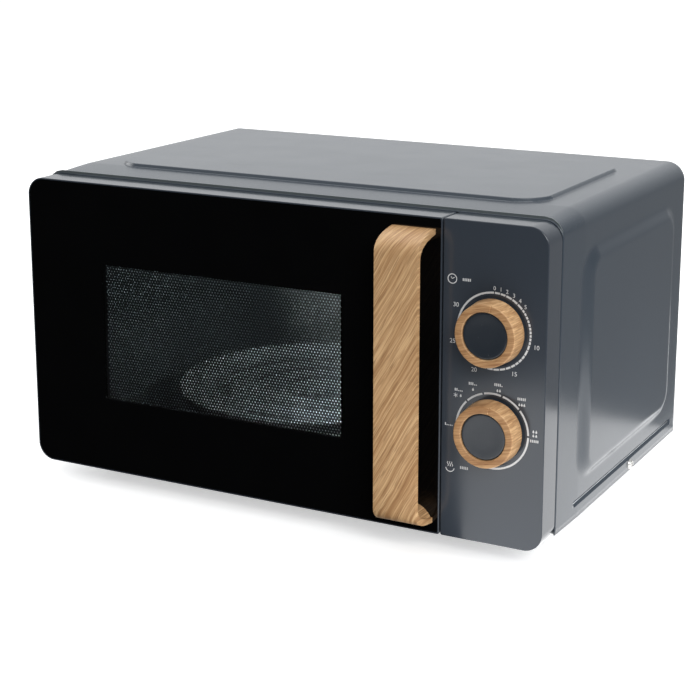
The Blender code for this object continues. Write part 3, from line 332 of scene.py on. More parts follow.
# ---------------------------------------------------------------- mesh helpers
def soften(points, radii, steps=4, closed=True):
    """An outline's points, with an arc of the given radius for each corner."""
    count = len(points)
    if not hasattr(radii, "__len__"):
        radii = [radii] * count
    result = []
    for index, (point, radius) in enumerate(zip(points, radii)):
        here = Vector(point)
        if radius == 0 or (not closed and index in (0, count - 1)):
            result.append(here)
            continue
        before = (Vector(points[index - 1]) - here).normalized()
        after = (Vector(points[(index + 1) % count]) - here).normalized()
        half = before.angle(after) / 2
        centre = here + (before + after).normalized() * radius / math.sin(half)
        start = here + before * radius / math.tan(half) - centre
        end = here + after * radius / math.tan(half) - centre
        for step in range(steps + 1):
            result.append(centre + start.slerp(end, step / steps).normalized() * radius)
    return result


def rectangle(left, right, low, high):
    return [(right, high), (left, high), (left, low), (right, low)]


def between(low, high, inset=0.0):
    """The rectangle between two corners in the front plane, moved inwards by an inset."""
    return rectangle(low.x + inset, high.x - inset, low.z + inset, high.z - inset)


def circle(x, z, radius, count=32):
    return [(x + radius * math.cos(2 * math.pi * i / count),
             z + radius * math.sin(2 * math.pi * i / count)) for i in range(count)]


def placed(name, data):
    """A mesh, curve, lamp or camera as an object in the scene."""
    thing = bpy.data.objects.new(name, data)
    bpy.context.scene.collection.objects.link(thing)
    return thing


def mesh_of(name, vertices, faces):
    mesh = bpy.data.meshes.new(name)
    mesh.from_pydata([tuple(v) for v in vertices], [], faces)
    return mesh


def weld(mesh, distance=0.000004):
    shape = bmesh.new()
    shape.from_mesh(mesh)
    bmesh.ops.remove_doubles(shape, verts=shape.verts, dist=distance)
    bmesh.ops.dissolve_degenerate(shape, edges=shape.edges, dist=distance / 2)
    bmesh.ops.recalc_face_normals(shape, faces=shape.faces)
    shape.to_mesh(mesh)
    shape.free()
    return mesh


def surface(name, rows, closed_rows=False, closed_columns=False):
    """Quads between rows of points."""
    width = len(rows[0])
    points = [point for row in rows for point in row]
    faces = []
    for r in range(len(rows) if closed_rows else len(rows) - 1):
        below = (r + 1) % len(rows)
        for c in range(width if closed_columns else width - 1):
            d = (c + 1) % width
            faces.append((r * width + c, r * width + d, below * width + d, below * width + c))
    return mesh_of(name, points, faces)


def capped(mesh):
    """A tube's mesh with its two open ends closed."""
    shape = bmesh.new()
    shape.from_mesh(mesh)
    bmesh.ops.holes_fill(shape, edges=shape.edges)
    bmesh.ops.recalc_face_normals(shape, faces=shape.faces)
    shape.to_mesh(mesh)
    shape.free()
    return mesh


def lathe(name, profile, centre, axis="front", segments=96, closed=False):
    """A profile of (radius, height) turned about an axis through centre.

    The height runs towards the front ("front"), up ("up"), or outwards ("right", "left",
    "back").
    """
    frames = {"front": ((1, 0, 0), (0, 0, 1), (0, -1, 0)), "up": ((1, 0, 0), (0, 1, 0), (0, 0, 1)),
              "back": ((1, 0, 0), (0, 0, 1), (0, 1, 0)), "right": ((0, 1, 0), (0, 0, 1), (1, 0, 0)),
              "left": ((0, 1, 0), (0, 0, 1), (-1, 0, 0))}
    across, other, up = (Vector(v) for v in frames[axis])
    rows = []
    for radius, height in profile:
        rows.append([centre + up * height + (across * math.cos(a) + other * math.sin(a)) * radius
                     for a in (2 * math.pi * i / segments for i in range(segments))])
    return weld(surface(name, rows, closed, True))


def flat_shape(curve, x, y, z):
    """A flat curve's mesh, stood upright with its origin at a place."""
    guide = placed(curve.name, curve)
    bpy.context.view_layer.update()
    mesh = bpy.data.meshes.new_from_object(guide.evaluated_get(bpy.context.evaluated_depsgraph_get()))
    bpy.data.objects.remove(guide)
    bpy.data.curves.remove(curve)
    mesh.transform(Matrix.Translation(at(x, y, z)) @ Matrix.Rotation(math.pi / 2, 4, "X"))
    return mesh


def plate(name, outlines, near, far, edge=0.0, steps=2):
    """Outlines in the front plane, near to far thick, the later ones holes; edges rounded."""
    curve = bpy.data.curves.new(name, "CURVE")
    curve.dimensions = "2D"
    curve.fill_mode = "BOTH"
    curve.extrude = (far - near) / 2 - edge
    curve.bevel_depth = edge
    curve.bevel_resolution = steps
    curve.offset = -edge
    for outline in outlines:
        spline = curve.splines.new("POLY")
        spline.points.add(len(outline) - 1)
        for point, (x, z) in zip(spline.points, outline):
            point.co = (x, z, 0, 1)
        spline.use_cyclic_u = True
    return weld(flat_shape(curve, 0, (near + far) / 2, 0))


def block(name, low, high, edge=0.0, segments=2):
    """A box between two corners, its edges rounded."""
    shape = bmesh.new()
    bmesh.ops.create_cube(shape, size=1.0)
    size = Vector(high) - Vector(low)
    bmesh.ops.scale(shape, vec=size, verts=shape.verts)
    bmesh.ops.translate(shape, vec=at(*((Vector(high) + Vector(low)) / 2)), verts=shape.verts)
    if edge:
        bmesh.ops.bevel(shape, geom=shape.edges[:], offset=edge, segments=segments, profile=0.5,
                        affect="EDGES")
    mesh = bpy.data.meshes.new(name)
    shape.to_mesh(mesh)
    shape.free()
    return mesh


def joined(name, meshes):
    """Several meshes as one."""
    shape = bmesh.new()
    for mesh in meshes:
        shape.from_mesh(mesh)
    result = bpy.data.meshes.new(name)
    shape.to_mesh(result)
    shape.free()
    return result


def baked(thing):
    """Puts what an object's modifiers make into its mesh."""
    bpy.context.view_layer.update()
    made = bpy.data.meshes.new_from_object(thing.evaluated_get(bpy.context.evaluated_depsgraph_get()))
    thing.modifiers.clear()
    thing.data = made
    return made


def carved(mesh, cutters):
    """A mesh with others cut out of it."""
    thing = placed("carved", mesh)
    tools = [placed("tool", cutter) for cutter in cutters]
    for tool in tools:
        step = thing.modifiers.new("cut", "BOOLEAN")
        step.operation = "DIFFERENCE"
        step.solver = "EXACT"
        step.object = tool
    made = baked(thing)
    for old in tools + [thing]:
        bpy.data.objects.remove(old)
    return made


def bevelled(mesh, width, segments=2, angle=30):
    """A mesh with its sharp edges rounded."""
    thing = placed("bevelled", mesh)
    step = thing.modifiers.new("edge", "BEVEL")
    step.width = width
    step.segments = segments
    step.limit_method = "ANGLE"
    step.angle_limit = math.radians(angle)
    made = baked(thing)
    bpy.data.objects.remove(thing)
    return made


def show(name, mesh, look, body, stands_for=(), sharp=32, flat=False):
    """Puts a mesh into the scene as a piece that rides on a body."""
    mesh.name = name
    piece = placed(name, mesh)
    mesh.materials.clear()
    mesh.materials.append(look)
    mesh.shade_smooth()
    mesh.set_sharp_from_angle(angle=math.radians(sharp))
    if flat:
        normals = piece.modifiers.new("normals", "WEIGHTED_NORMAL")
        normals.keep_sharp = True
    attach(piece, body)
    if stands_for:
        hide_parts(*stands_for)
    return piece


def spaced(*stretches):
    """Values over stretches of (start, end, step), each end shared with the next start."""
    values = []
    for start, end, step in stretches:
        count = max(1, round((end - start) / step))
        values += [start + (end - start) * i / count for i in range(count)]
    return values + [stretches[-1][1]]


def smooth(t):
    t = min(max(t, 0.0), 1.0)
    return t * t * (3 - 2 * t)


# ---------------------------------------------------------------- casing
SIDE_RISE = 0.004
SIDE_FACE = (0.081, 0.265, 0.042, 0.199)
SIDE_SLOPES = (0.019, 0.016, 0.010, 0.014)
SIDE_CORNER = 0.012
TOP_RISE = 0.0025
TOP_FACE = (-0.1895, 0.1895, 0.0695, 0.2515)
TOP_SLOPES = (0.0026,) * 4
TOP_CORNER = 0.024
TOP_DROP = 0.0012
SLOT_TOP = 0.0200
SLOT_BOTTOM = 0.0150
SLOT_LIP = 0.0003
SLOT_DEPTH = 0.0026
SLOT_FRONT = 0.0600
SLOT_BACK = 0.2915
SLOT_ROUNDING = 0.0015
BEND_RADIUS = 0.0155
BEND_STEPS = 14
CASING_FRONT = 0.0255
TAPER_LENGTH = 0.043
TAPER_CURVE = 1.15
TAPER_SIDE = 0.0012
TAPER_TOP = 0.0023
DOOR_SWING_X = -0.2
DOOR_SWING_ROOM = 0.0010
REAR_FOLD = 0.0015
REAR_LIP = (0.0045, 0.0085, 0.0118)
CASING_SHEET = 0.0009


def pressed(u, v, face, slopes, radius, rise):
    """Height of a pressed panel: its flat face, rounded corners and sloping sides."""
    low_u, high_u, low_v, high_v = face
    du = u - min(max(u, low_u + radius), high_u - radius)
    dv = v - min(max(v, low_v + radius), high_v - radius)
    away = math.hypot(du, dv)
    if away <= radius:
        return rise
    run_u = slopes[0] if du < 0 else slopes[1]
    run_v = slopes[2] if dv < 0 else slopes[3]
    run = (run_u * du * du + run_v * dv * dv) / (away * away)
    return rise * (1 - smooth((away - radius) / run))


def side_slot(y, z):
    """Depth of the long slot pressed in above the casing's lower edge."""
    ends = smooth((y - SLOT_FRONT) / SLOT_ROUNDING) * smooth((SLOT_BACK - y) / SLOT_ROUNDING)
    if z > SLOT_TOP:
        share = 1 - smooth((z - SLOT_TOP) / SLOT_LIP)
    else:
        share = min(max((z - SLOT_BOTTOM) / (SLOT_TOP - SLOT_BOTTOM), 0), 1)
    return SLOT_DEPTH * share * ends


def casing_section(half, top, bottom):
    """The wrap's cross-section, from the right lower edge over the top to the left one.

    Each entry is (x, z, outward x, outward z, kind of face, place along that face). Steps are
    fine where the sheet is pressed.
    """
    heights = spaced((bottom, 0.0144, 0.004), (0.0144, 0.0188, 0.0006), (0.0188, 0.0206, 0.0003),
                     (0.0206, 0.030, 0.003), (0.030, 0.060, 0.0014), (0.060, 0.184, 0.014),
                     (0.184, 0.215, 0.0014), (0.215, top - BEND_RADIUS, 0.005))
    across = spaced((0, 0.160, 0.016), (0.160, 0.1945, 0.00072),
                    (0.1945, half - BEND_RADIUS, 0.006))
    section = [(half, z, 1, 0, "side", z) for z in heights]
    for step in range(1, BEND_STEPS):
        turn = math.radians(90 * step / BEND_STEPS)
        section.append((half - BEND_RADIUS + BEND_RADIUS * math.cos(turn),
                        top - BEND_RADIUS + BEND_RADIUS * math.sin(turn),
                        math.cos(turn), math.sin(turn), "bend", 0))
    section += [(x, top, 0, 1, "top", x) for x in reversed(across)]
    section += [(-x, z, -nx, nz, kind, -u if kind == "top" else u)
                for x, z, nx, nz, kind, u in reversed(section[:-1])]
    return section


def casing_row(section, y):
    """The section at a depth y: pressed, slotted, and tapered towards the front frame."""
    row = []
    near = max(1 - (y - CASING_FRONT) / TAPER_LENGTH, 0) ** TAPER_CURVE
    for x, z, nx, nz, kind, u in section:
        rise = 0
        if kind == "side":
            rise = pressed(y, u, SIDE_FACE, SIDE_SLOPES, SIDE_CORNER, SIDE_RISE) - side_slot(y, u)
        elif kind == "top":
            rise = pressed(u, y, TOP_FACE, TOP_SLOPES, TOP_CORNER, TOP_RISE)
        swing = DOOR_SWING_ROOM * near ** 6 if x < DOOR_SWING_X else 0
        row.append(at(x + nx * (rise - TAPER_SIDE * near), y + swing,
                      z + nz * (rise - TAPER_TOP * near)))
    return row


def build_casing():
    """The bent steel wrap, with its pressed panels, side slots and folded rear edge."""
    low, high = local_box("outer_casing")
    back = high.y
    section = casing_section(high.x - SIDE_RISE, high.z - TOP_RISE - TOP_DROP, low.z)
    depths = spaced((CASING_FRONT, 0.0595, 0.0024), (0.0595, 0.0645, 0.0012),
                    (0.0645, 0.0960, 0.00075), (0.0960, 0.2250, 0.0120), (0.2250, 0.2560, 0.00075),
                    (0.2560, 0.2900, 0.0016), (0.2900, 0.2925, 0.0006),
                    (0.2925, back - REAR_FOLD, 0.004))
    rows = [casing_row(section, y) for y in depths]
    for turn in (30, 60, 90):
        inward = REAR_FOLD * (1 - math.cos(math.radians(turn)))
        y = back - REAR_FOLD * (1 - math.sin(math.radians(turn)))
        rows.append([at(x - nx * inward, y, z - nz * inward) for x, z, nx, nz, kind, u in section])
    for inward in REAR_LIP:
        rows.append([at(x - nx * inward, back, z - nz * inward)
                     for x, z, nx, nz, kind, u in section])
    mesh = weld(surface("casing", rows), 0.00001)
    piece = show("casing_shell", mesh, LOOKS["grey_paint"], "cabinet",
                 ("outer_casing",), sharp=24)
    thick = piece.modifiers.new("sheet", "SOLIDIFY")
    thick.thickness = CASING_SHEET
    thick.offset = -1
    middle = sum((v.co for v in mesh.vertices), Vector()) / len(mesh.vertices)
    outward = sum((p.normal.dot(p.center - middle) for p in mesh.polygons))
    if outward < 0:
        mesh.flip_normals()


# ---------------------------------------------------------------- screws and feet
SIDE_SCREW_SINK = 0.0021
REAR_SCREW_RADIUS = 0.0038
REAR_SCREW_GAP = 0.0003
REAR_SCREW_X = 0.2205
REAR_SCREW_HEIGHTS = (0.190, 0.075)
TOP_SCREW_X = 0.095
TOP_SCREW_DROP = 0.0055
FOOT_RADIUS = 0.013


def screw_mesh(centre, axis, radius=0.0042):
    """A pan head screw with a cross recess."""
    height = radius * 0.52
    profile = soften([(0, height), (radius * 0.72, height), (radius, 0.0), (radius, -0.0006),
                      (0, -0.0006)], [0, radius * 0.3, radius * 0.12, 0, 0], 4, False)
    head = lathe("screw", profile, centre, axis, 32)
    turns = {"back": Matrix.Rotation(-math.pi / 2, 4, "X"),
             "right": Matrix.Rotation(math.pi / 2, 4, "Y"),
             "left": Matrix.Rotation(-math.pi / 2, 4, "Y")}
    seat = Matrix.Translation(centre) @ turns[axis] @ Matrix.Translation((0, 0, height))
    slots = []
    for angle in (40, 130):
        shape = bmesh.new()
        bmesh.ops.create_cube(shape, size=1.0)
        bmesh.ops.scale(shape, vec=(radius * 1.15, radius * 0.26, radius * 0.7), verts=shape.verts)
        bmesh.ops.transform(shape, verts=shape.verts,
                            matrix=seat @ Matrix.Rotation(math.radians(angle), 4, "Z"))
        slot = bpy.data.meshes.new("slot")
        shape.to_mesh(slot)
        shape.free()
        slots.append(slot)
    return carved(head, slots)


def build_screws():
    """The two side screws, and the rear ones that hold the wrap's folded edge."""
    for side in ("right", "left"):
        node = f"casing_screw_{side}"
        start, end = local_box(node)
        x = end.x - SIDE_SCREW_SINK if side == "right" else start.x + SIDE_SCREW_SINK
        centre = at(x, (start.y + end.y) / 2, (start.z + end.z) / 2)
        show(f"side_screw_{side}", screw_mesh(centre, side), LOOKS["bright_steel"], "cabinet",
             (node,), sharp=40)
    back = local_box("outer_casing")[1].y + REAR_SCREW_GAP
    top = local_box("rear_panel")[1].z - TOP_SCREW_DROP
    places = [(way * REAR_SCREW_X, z) for way in (-1, 1) for z in REAR_SCREW_HEIGHTS]
    places += [(way * TOP_SCREW_X, top) for way in (-1, 1)]
    heads = [screw_mesh(at(x, back, z), "back", REAR_SCREW_RADIUS) for x, z in places]
    show("rear_screws", joined("rear_screws", heads), LOOKS["bright_steel"], "cabinet",
         sharp=40)


def build_feet():
    """Four turned rubber feet, hollow below."""
    for node in ("foot_front_left", "foot_front_right", "foot_rear_left", "foot_rear_right"):
        centre, height = standing(node)
        profile = soften([(0, height), (FOOT_RADIUS, height), (FOOT_RADIUS, height - 0.004),
                          (0.0112, 0.0012), (0.0098, 0), (0.0060, 0), (0.0052, 0.0011), (0, 0.0011)],
                         [0, 0.0008, 0.0012, 0.0004, 0.0008, 0.0003, 0.0003, 0], 4, False)
        show(f"rubber_{node}", lathe(node, profile, centre, "up", 48), LOOKS["rubber"], "cabinet",
             (node,))


# ---------------------------------------------------------------- front
FRONT_CORNER = 0.0145
INNER_CORNER = 0.0015
PANEL_EDGE = 0.0009
PANEL_WALL = 0.0022
PANEL_FACE = 0.0025
WALLS_REACH = 0.04
SPINDLE_HOLE = 0.0045
DIAL_RECESS = 0.0257
DIAL_RECESS_DEPTH = 0.0012
FRAME_EDGE = 0.0005
FRAME_RIM = 0.0011
FRAME_WALL = 0.0023
FRAME_HINGE_WALL = 0.008
FRAME_RECESS = 0.0035
FRAME_FACE = 0.0065
FRAME_OPENING = (-0.203, 0.092)
FRAME_OPENING_MARGIN = 0.018
HINGE_ROUNDING = 0.011
HINGE_NOTCH = (0.0085, 0.0165)
HINGE_NOTCH_HALF = 0.0016
GLASS_RIM = 0.0013
GLASS_CORNER = 0.0132
WINDOW = (-0.1553, 0.0623, 0.0615, 0.1730)
PANE_BITE = 0.0006
PANE_INSET = 0.0001


def build_control_panel():
    low, high = local_box("control_panel")
    outline = soften(between(low, high), [FRONT_CORNER, INNER_CORNER, INNER_CORNER, FRONT_CORNER], 14)
    body = plate("panel", [outline], 0, high.y, PANEL_EDGE, 3)
    inner_corner = FRONT_CORNER - PANEL_WALL
    inside = soften(between(low, high, PANEL_WALL), [inner_corner, 0.001, 0.001, inner_corner], 8)
    holes = [plate("inside", [inside], PANEL_FACE, WALLS_REACH)]
    for label in ("timer", "power"):
        place = dial_centre(label)
        holes.append(plate("hole", [circle(*place, SPINDLE_HOLE)], -CLEAR, CLEAR))
        holes.append(plate("recess", [circle(*place, DIAL_RECESS, 96)], -CLEAR, DIAL_RECESS_DEPTH))
    show("control_fascia", carved(body, holes), LOOKS["grey_plastic"], "cabinet",
         ("control_panel",), flat=True)


def hinge_corner(low, high, thickness):
    """What is cut off the frame's rear edge, so that it swings clear of the casing."""
    beyond = 0.001
    turned = [math.radians(a) for a in range(0, 91, 6)]
    corner = [Vector((low.x - beyond, thickness + beyond)),
              Vector((low.x - beyond, thickness - HINGE_ROUNDING))]
    corner += [Vector((low.x + HINGE_ROUNDING - HINGE_ROUNDING * math.cos(a),
                       thickness - HINGE_ROUNDING + HINGE_ROUNDING * math.sin(a))) for a in turned]
    corner.append(Vector((low.x + HINGE_ROUNDING, thickness + beyond)))
    rows = [[at(p.x, p.y, z) for p in corner] for z in (low.z - beyond, high.z + beyond)]
    return capped(surface("corner", rows, False, True))


def build_door_frame():
    """The plastic frame round the glass, rounded and notched at its hinges."""
    low, high = local_box("door_frame")
    thickness = high.y
    outline = soften(between(low, high), [INNER_CORNER, FRONT_CORNER, FRONT_CORNER, INNER_CORNER], 14)
    recess_corner = FRONT_CORNER - FRAME_RIM
    recess = soften(between(low, high, FRAME_RIM), [0.001, recess_corner, recess_corner, 0.001], 12)
    inside = soften(rectangle(low.x + FRAME_HINGE_WALL, high.x - FRAME_WALL, low.z + FRAME_WALL,
                              high.z - FRAME_WALL), [0.001, 0.004, 0.004, 0.001], 6)
    opening = soften(rectangle(*FRAME_OPENING, FRAME_OPENING_MARGIN, high.z - FRAME_OPENING_MARGIN),
                     0.003, 4)
    body = plate("frame", [outline], 0, thickness, FRAME_EDGE, 3)
    cutters = [plate("recess", [recess], -CLEAR, FRAME_RECESS),
               plate("inside", [inside], FRAME_FACE, WALLS_REACH),
               plate("opening", [opening], -CLEAR, 2 * CLEAR),
               hinge_corner(low, high, thickness)]
    for node in ("hinge_upper", "hinge_lower"):
        start, end = local_box(node)
        middle = end.z - 0.001 if node == "hinge_upper" else start.z + 0.001
        cutters.append(block("notch", (low.x - 0.001, HINGE_NOTCH[0], middle - HINGE_NOTCH_HALF),
                             (low.x + HINGE_NOTCH[1], thickness + 0.001, middle + HINGE_NOTCH_HALF)))
    show("door_surround", carved(body, cutters), LOOKS["grey_plastic"], "door",
         ("door_frame",), flat=True)


def build_door_glass():
    """The door's glass: black print, and a clear window whose edges run into the print."""
    low, high = local_box("door_glass")
    start, end = local_box("door_frame")
    outline = soften(between(start, end, GLASS_RIM), [0.0008, GLASS_CORNER, GLASS_CORNER, 0.0008], 14)
    left, right, bottom, top = WINDOW
    front = plate("front", [outline, rectangle(left, right, bottom, top)], low.y, high.y, 0.0)
    printed = show("door_glass_printed", front, LOOKS["black_glass"], "door",
                   ("door_glass",))
    pane = plate("pane", [rectangle(left - PANE_BITE, right + PANE_BITE, bottom - PANE_BITE,
                                    top + PANE_BITE)], low.y + PANE_INSET, high.y - PANE_INSET)
    return printed, show("door_window", pane, WINDOW_GLASS, "door")


# ---------------------------------------------------------------- screen
HOLE_PITCH = 0.0026
HOLE_RADIUS = 0.00070
HOLE_SIDES = 8
SCREEN_MARGIN = 0.002
SCREEN_SHEET = 0.0006
PAN_EDGE = 0.0006
PAN_FACE = 0.0008


def ring_faces(inner, outer, inner_count, outer_count):
    """Triangles between two rings of vertices that share a centre, stepped by angle."""
    faces = []
    i = o = 0
    while i < inner_count or o < outer_count:
        if o * inner_count <= i * outer_count and o < outer_count:
            faces.append((inner[i % inner_count], outer[o % outer_count], outer[(o + 1) % outer_count]))
            o += 1
        else:
            faces.append((inner[i % inner_count], outer[o % outer_count], inner[(i + 1) % inner_count]))
            i += 1
    return faces


def screen_cell(x, z, face, first):
    """One hexagon of the sheet with its round hole; first is its first vertex's number."""
    corner = HOLE_PITCH / math.sqrt(3)
    points = []
    for turn in range(6):
        angle = math.pi / 3 * (turn + 0.5)
        points.append(at(x + corner * math.cos(angle), face, z + corner * math.sin(angle)))
    for y in (face, face + SCREEN_SHEET):
        for turn in range(HOLE_SIDES):
            angle = 2 * math.pi * turn / HOLE_SIDES + math.pi / 6
            points.append(at(x + HOLE_RADIUS * math.cos(angle), y, z + HOLE_RADIUS * math.sin(angle)))
    outer = list(range(first, first + 6))
    inner = list(range(first + 6, first + 6 + HOLE_SIDES))
    faces = ring_faces(inner, outer, HOLE_SIDES, 6)
    for turn in range(HOLE_SIDES):
        after = (turn + 1) % HOLE_SIDES
        faces.append((inner[turn], inner[turn] + HOLE_SIDES, inner[after] + HOLE_SIDES, inner[after]))
    return points, faces


def build_screen():
    """The perforated sheet behind the window, and the steel pan that carries it."""
    low, high = local_box("door_screen_panel")
    face = low.y
    row_step = HOLE_PITCH * math.sqrt(3) / 2
    left, right, bottom, top = WINDOW
    columns = round((right - left + 2 * SCREEN_MARGIN) / HOLE_PITCH)
    rows = round((top - bottom + 2 * SCREEN_MARGIN) / row_step)
    start_x = (left + right - (columns - 0.5) * HOLE_PITCH) / 2
    start_z = (bottom + top - (rows - 1) * row_step) / 2
    points, faces = [], []
    for column in range(columns):
        for row in range(rows):
            x = start_x + (column + 0.5 * (row % 2)) * HOLE_PITCH
            cell_points, cell_faces = screen_cell(x, start_z + row * row_step, face, len(points))
            points += cell_points
            faces += cell_faces
    mesh = mesh_of("screen", points, faces)
    weld(mesh, 0.00001)
    show("door_screen", mesh, SCREEN_STEEL, "door", sharp=40)
    reach = HOLE_PITCH / math.sqrt(3) * 0.5
    mouth_left = start_x + HOLE_PITCH * 0.25
    mouth = rectangle(mouth_left, mouth_left + (columns - 1) * HOLE_PITCH, start_z - reach,
                      start_z + (rows - 1) * row_step + reach)
    pan = plate("pan", [soften(between(low, high), 0.003, 5)], face, high.y, PAN_EDGE)
    hollow = plate("hollow", [soften(between(low, high, SHEET), 0.002, 5)], face + PAN_FACE,
                   high.y + CLEAR)
    opening = plate("mouth", [mouth], face - CLEAR, face + CLEAR)
    show("door_screen_pan", carved(pan, [hollow, opening]), SCREEN_STEEL, "door",
         ("door_screen_panel",))


# ---------------------------------------------------------------- handle
HANDLE_THICKNESS = 0.004
HANDLE_STEPS = 20
HANDLE_FOOT_RADIUS = 0.0179
HANDLE_FOOT_OFFSET = 0.1151
HANDLE_EDGE = 0.0007


def handle_side(offset):
    """The handle's side outline, moved inwards by an offset, as (y, z) from its middle."""
    low, high = local_box("door_handle")
    reach = low.y + offset
    end = (high.z - low.z) / 2 - 0.0003 - offset
    guides = [Vector(p) for p in ((0.001, end + 0.0003), (reach + 0.012, end - 0.0015),
                                  (reach, end - 0.0055), (reach, end - 0.0150))]
    upper = []
    for step in range(HANDLE_STEPS + 1):
        t = step / HANDLE_STEPS
        weights = ((1 - t) ** 3, 3 * t * (1 - t) ** 2, 3 * t * t * (1 - t), t ** 3)
        upper.append(sum((guide * weight for guide, weight in zip(guides, weights)), Vector((0, 0))))
    return upper + [Vector((p.x, -p.y)) for p in reversed(upper)]


def side_prism(name, outline, left, right, middle):
    """An outline of (y, z) made into a solid from left to right."""
    rows = [[at(x, p.x, middle + p.y) for p in outline] for x in (left, right)]
    return capped(surface(name, rows, False, True))


def build_handle():
    """The oak pull, bent back to the door at each end onto a half-round foot."""
    low, high = local_box("door_handle")
    middle = (low.z + high.z) / 2
    centre = (low.x + high.x) / 2
    body = side_prism("handle", handle_side(0), low.x, high.x, middle)
    space = side_prism("space", handle_side(HANDLE_THICKNESS), low.x - CLEAR, high.x + CLEAR, middle)
    column = [(0, 0.05), (HANDLE_FOOT_RADIUS, 0.05), (HANDLE_FOOT_RADIUS, -0.05), (0, -0.05)]
    feet = [lathe("foot", column, at(centre, 0, middle + way * HANDLE_FOOT_OFFSET), "front", 128)
            for way in (1, -1)]
    space = carved(space, feet)
    trim = block("trim", (low.x - CLEAR, -0.0001, low.z - CLEAR),
                 (high.x + CLEAR, 2 * CLEAR, high.z + CLEAR))
    mesh = bevelled(carved(body, [space, trim]), HANDLE_EDGE, 3, 40)
    show("oak_handle", mesh, LOOKS["oak"], "door", ("door_handle",), sharp=50, flat=True)


# ---------------------------------------------------------------- dials
RING_TAPER = 0.0011
RING_INNER = 0.0174
POINTER_ANGLE = math.radians(12.5)
POINTER_HALF = 0.0006
POINTER_DEPTH = 0.0007
POINTER_REACH = (0.0150, 0.0300)
CAP_DEPTH = 0.004


def build_dial_ring(label):
    """A dial's oak ring, with the pointer's notch cut across its face."""
    start, end = local_box(f"{label}_knob_ring")
    x, z = dial_centre(label)
    reach = -start.y
    back = -end.y
    base = (end.x - start.x) / 2
    profile = soften([(RING_INNER, reach), (base - RING_TAPER, reach), (base, back),
                      (RING_INNER, back)], [0.0007, 0.0010, 0.0006, 0.0002], 5)
    ring = lathe("ring", profile, at(x, 0, z), "front", 144, True)
    notch = block("notch", (-POINTER_HALF, -reach - 0.002, POINTER_REACH[0]),
                  (POINTER_HALF, -reach + POINTER_DEPTH, POINTER_REACH[1]))
    notch.transform(Matrix.Translation(at(x, 0, z)) @ Matrix.Rotation(POINTER_ANGLE, 4, "Y")
                    @ Matrix.Translation(-at(0, 0, 0)))
    show(f"{label}_dial_ring", bevelled(carved(ring, [notch]), 0.00015, 1, 50), KNOB_OAK,
         f"{label}_dial", (f"{label}_knob_ring",), sharp=45)
    return back


def build_dial_face(label, back):
    """A dial's grey face, slightly dished."""
    low, high = local_box(f"{label}_knob_cap")
    face = -low.y
    edge = (high.x - low.x) / 2
    centre = at((low.x + high.x) / 2, 0, (low.z + high.z) / 2)
    dish = [(0, face - 0.0005), (edge * 0.35, face - 0.00045), (edge * 0.7, face - 0.0003)]
    rim = soften([(edge * 0.9, face), (edge, face), (edge, back + CAP_DEPTH)],
                 [0.0, 0.0008, 0], 5, False)
    cap = dish + [tuple(p) for p in rim]
    show(f"{label}_dial_face", lathe("cap", cap, centre, "front", 128), LOOKS["dial_grey"],
         f"{label}_dial", (f"{label}_knob_cap",), sharp=40)


def build_knobs():
    for label in ("timer", "power"):
        back = build_dial_ring(label)
        build_dial_face(label, back)


# ---------------------------------------------------------------- print on the panel
PRINT_NEAR = -0.00010
PRINT_FAR = 0.00002
SCALE_RADIUS = 0.0280
SCALE_WIDTH = 0.0014
FINE_LINE = 0.0005
LINE = 0.0006
DROP_SIZE = 0.0013
BAR_STEP = 0.00135
BAR_WIDTH = 0.0008
TALL_BAR = 0.0020
LOW_BAR = 0.0007
BARS = 5
BARS_AFTER_SIGN = 0.0115
MINUTES = {"0": 0, "1": 9, "2": 18, "3": 28.5, "4": 39, "5": 49.5, "10": 104, "15": 151,
           "20": 206, "25": 251, "30": 298.5}
MINUTE_REACH = {1: 0.0311, 2: 0.0336}
MINUTE_SIZE = {1: 0.0042, 2: 0.0046}
TIMER_GAPS = [0, 9, 18, 28.5, 39, 49.5, 55, 60.5, 66, 71.5, 77, 82.5, 88, 93, 98.5, 104, 112, 122,
              129, 136, 143, 151, 160, 170, 180, 190, 200]
POWER_GAPS = [15, 48, 90, 270, 315, 345]
CLOCK = (-0.0327, 0.0347)
CLOCK_RADIUS = 0.0037
SNOWFLAKE = (-0.0288, 0.0230)
SNOWFLAKE_SIZE = 0.0017
STEAM = (-0.0325, -0.0318)
BOWL_RADIUS = 0.0034
FULL_POWER = (0.0330, 0.0014)
# Each power mark below full: across and up from the dial, drops, bars.
POWER_MARKS = ((-0.0336, -0.0030, 0, 1), (-0.0262, 0.0240, 1, 2), (-0.0152, 0.0300, 1, 3),
               (0.0047, 0.0318, 2, 4), (0.0226, 0.0238, 3, 5))


def stroke(points, width):
    """An outline round a polyline, as wide as a printed line."""
    count = len(points)
    sides = ([], [])
    for i, point in enumerate(points):
        here = Vector(point)
        before = Vector(points[i - 1]) if i else here
        after = Vector(points[i + 1]) if i < count - 1 else here
        along = (after - before).normalized()
        normal = Vector((-along.y, along.x)) * width / 2
        sides[0].append(here + normal)
        sides[1].append(here - normal)
    return sides[0] + sides[1][::-1]


def bow(x, z, radius, start, end, count=24):
    """Points along an arc; angles in degrees clockwise from straight up."""
    turns = [math.radians(start + (end - start) * i / (count - 1)) for i in range(count)]
    return [(x + radius * math.sin(t), z + radius * math.cos(t)) for t in turns]


def drop(x, z):
    """A water drop: round below, pointed above."""
    return [(x, z + DROP_SIZE)] + bow(x, z - DROP_SIZE * 0.25, DROP_SIZE * 0.55, 60, 300, 14)


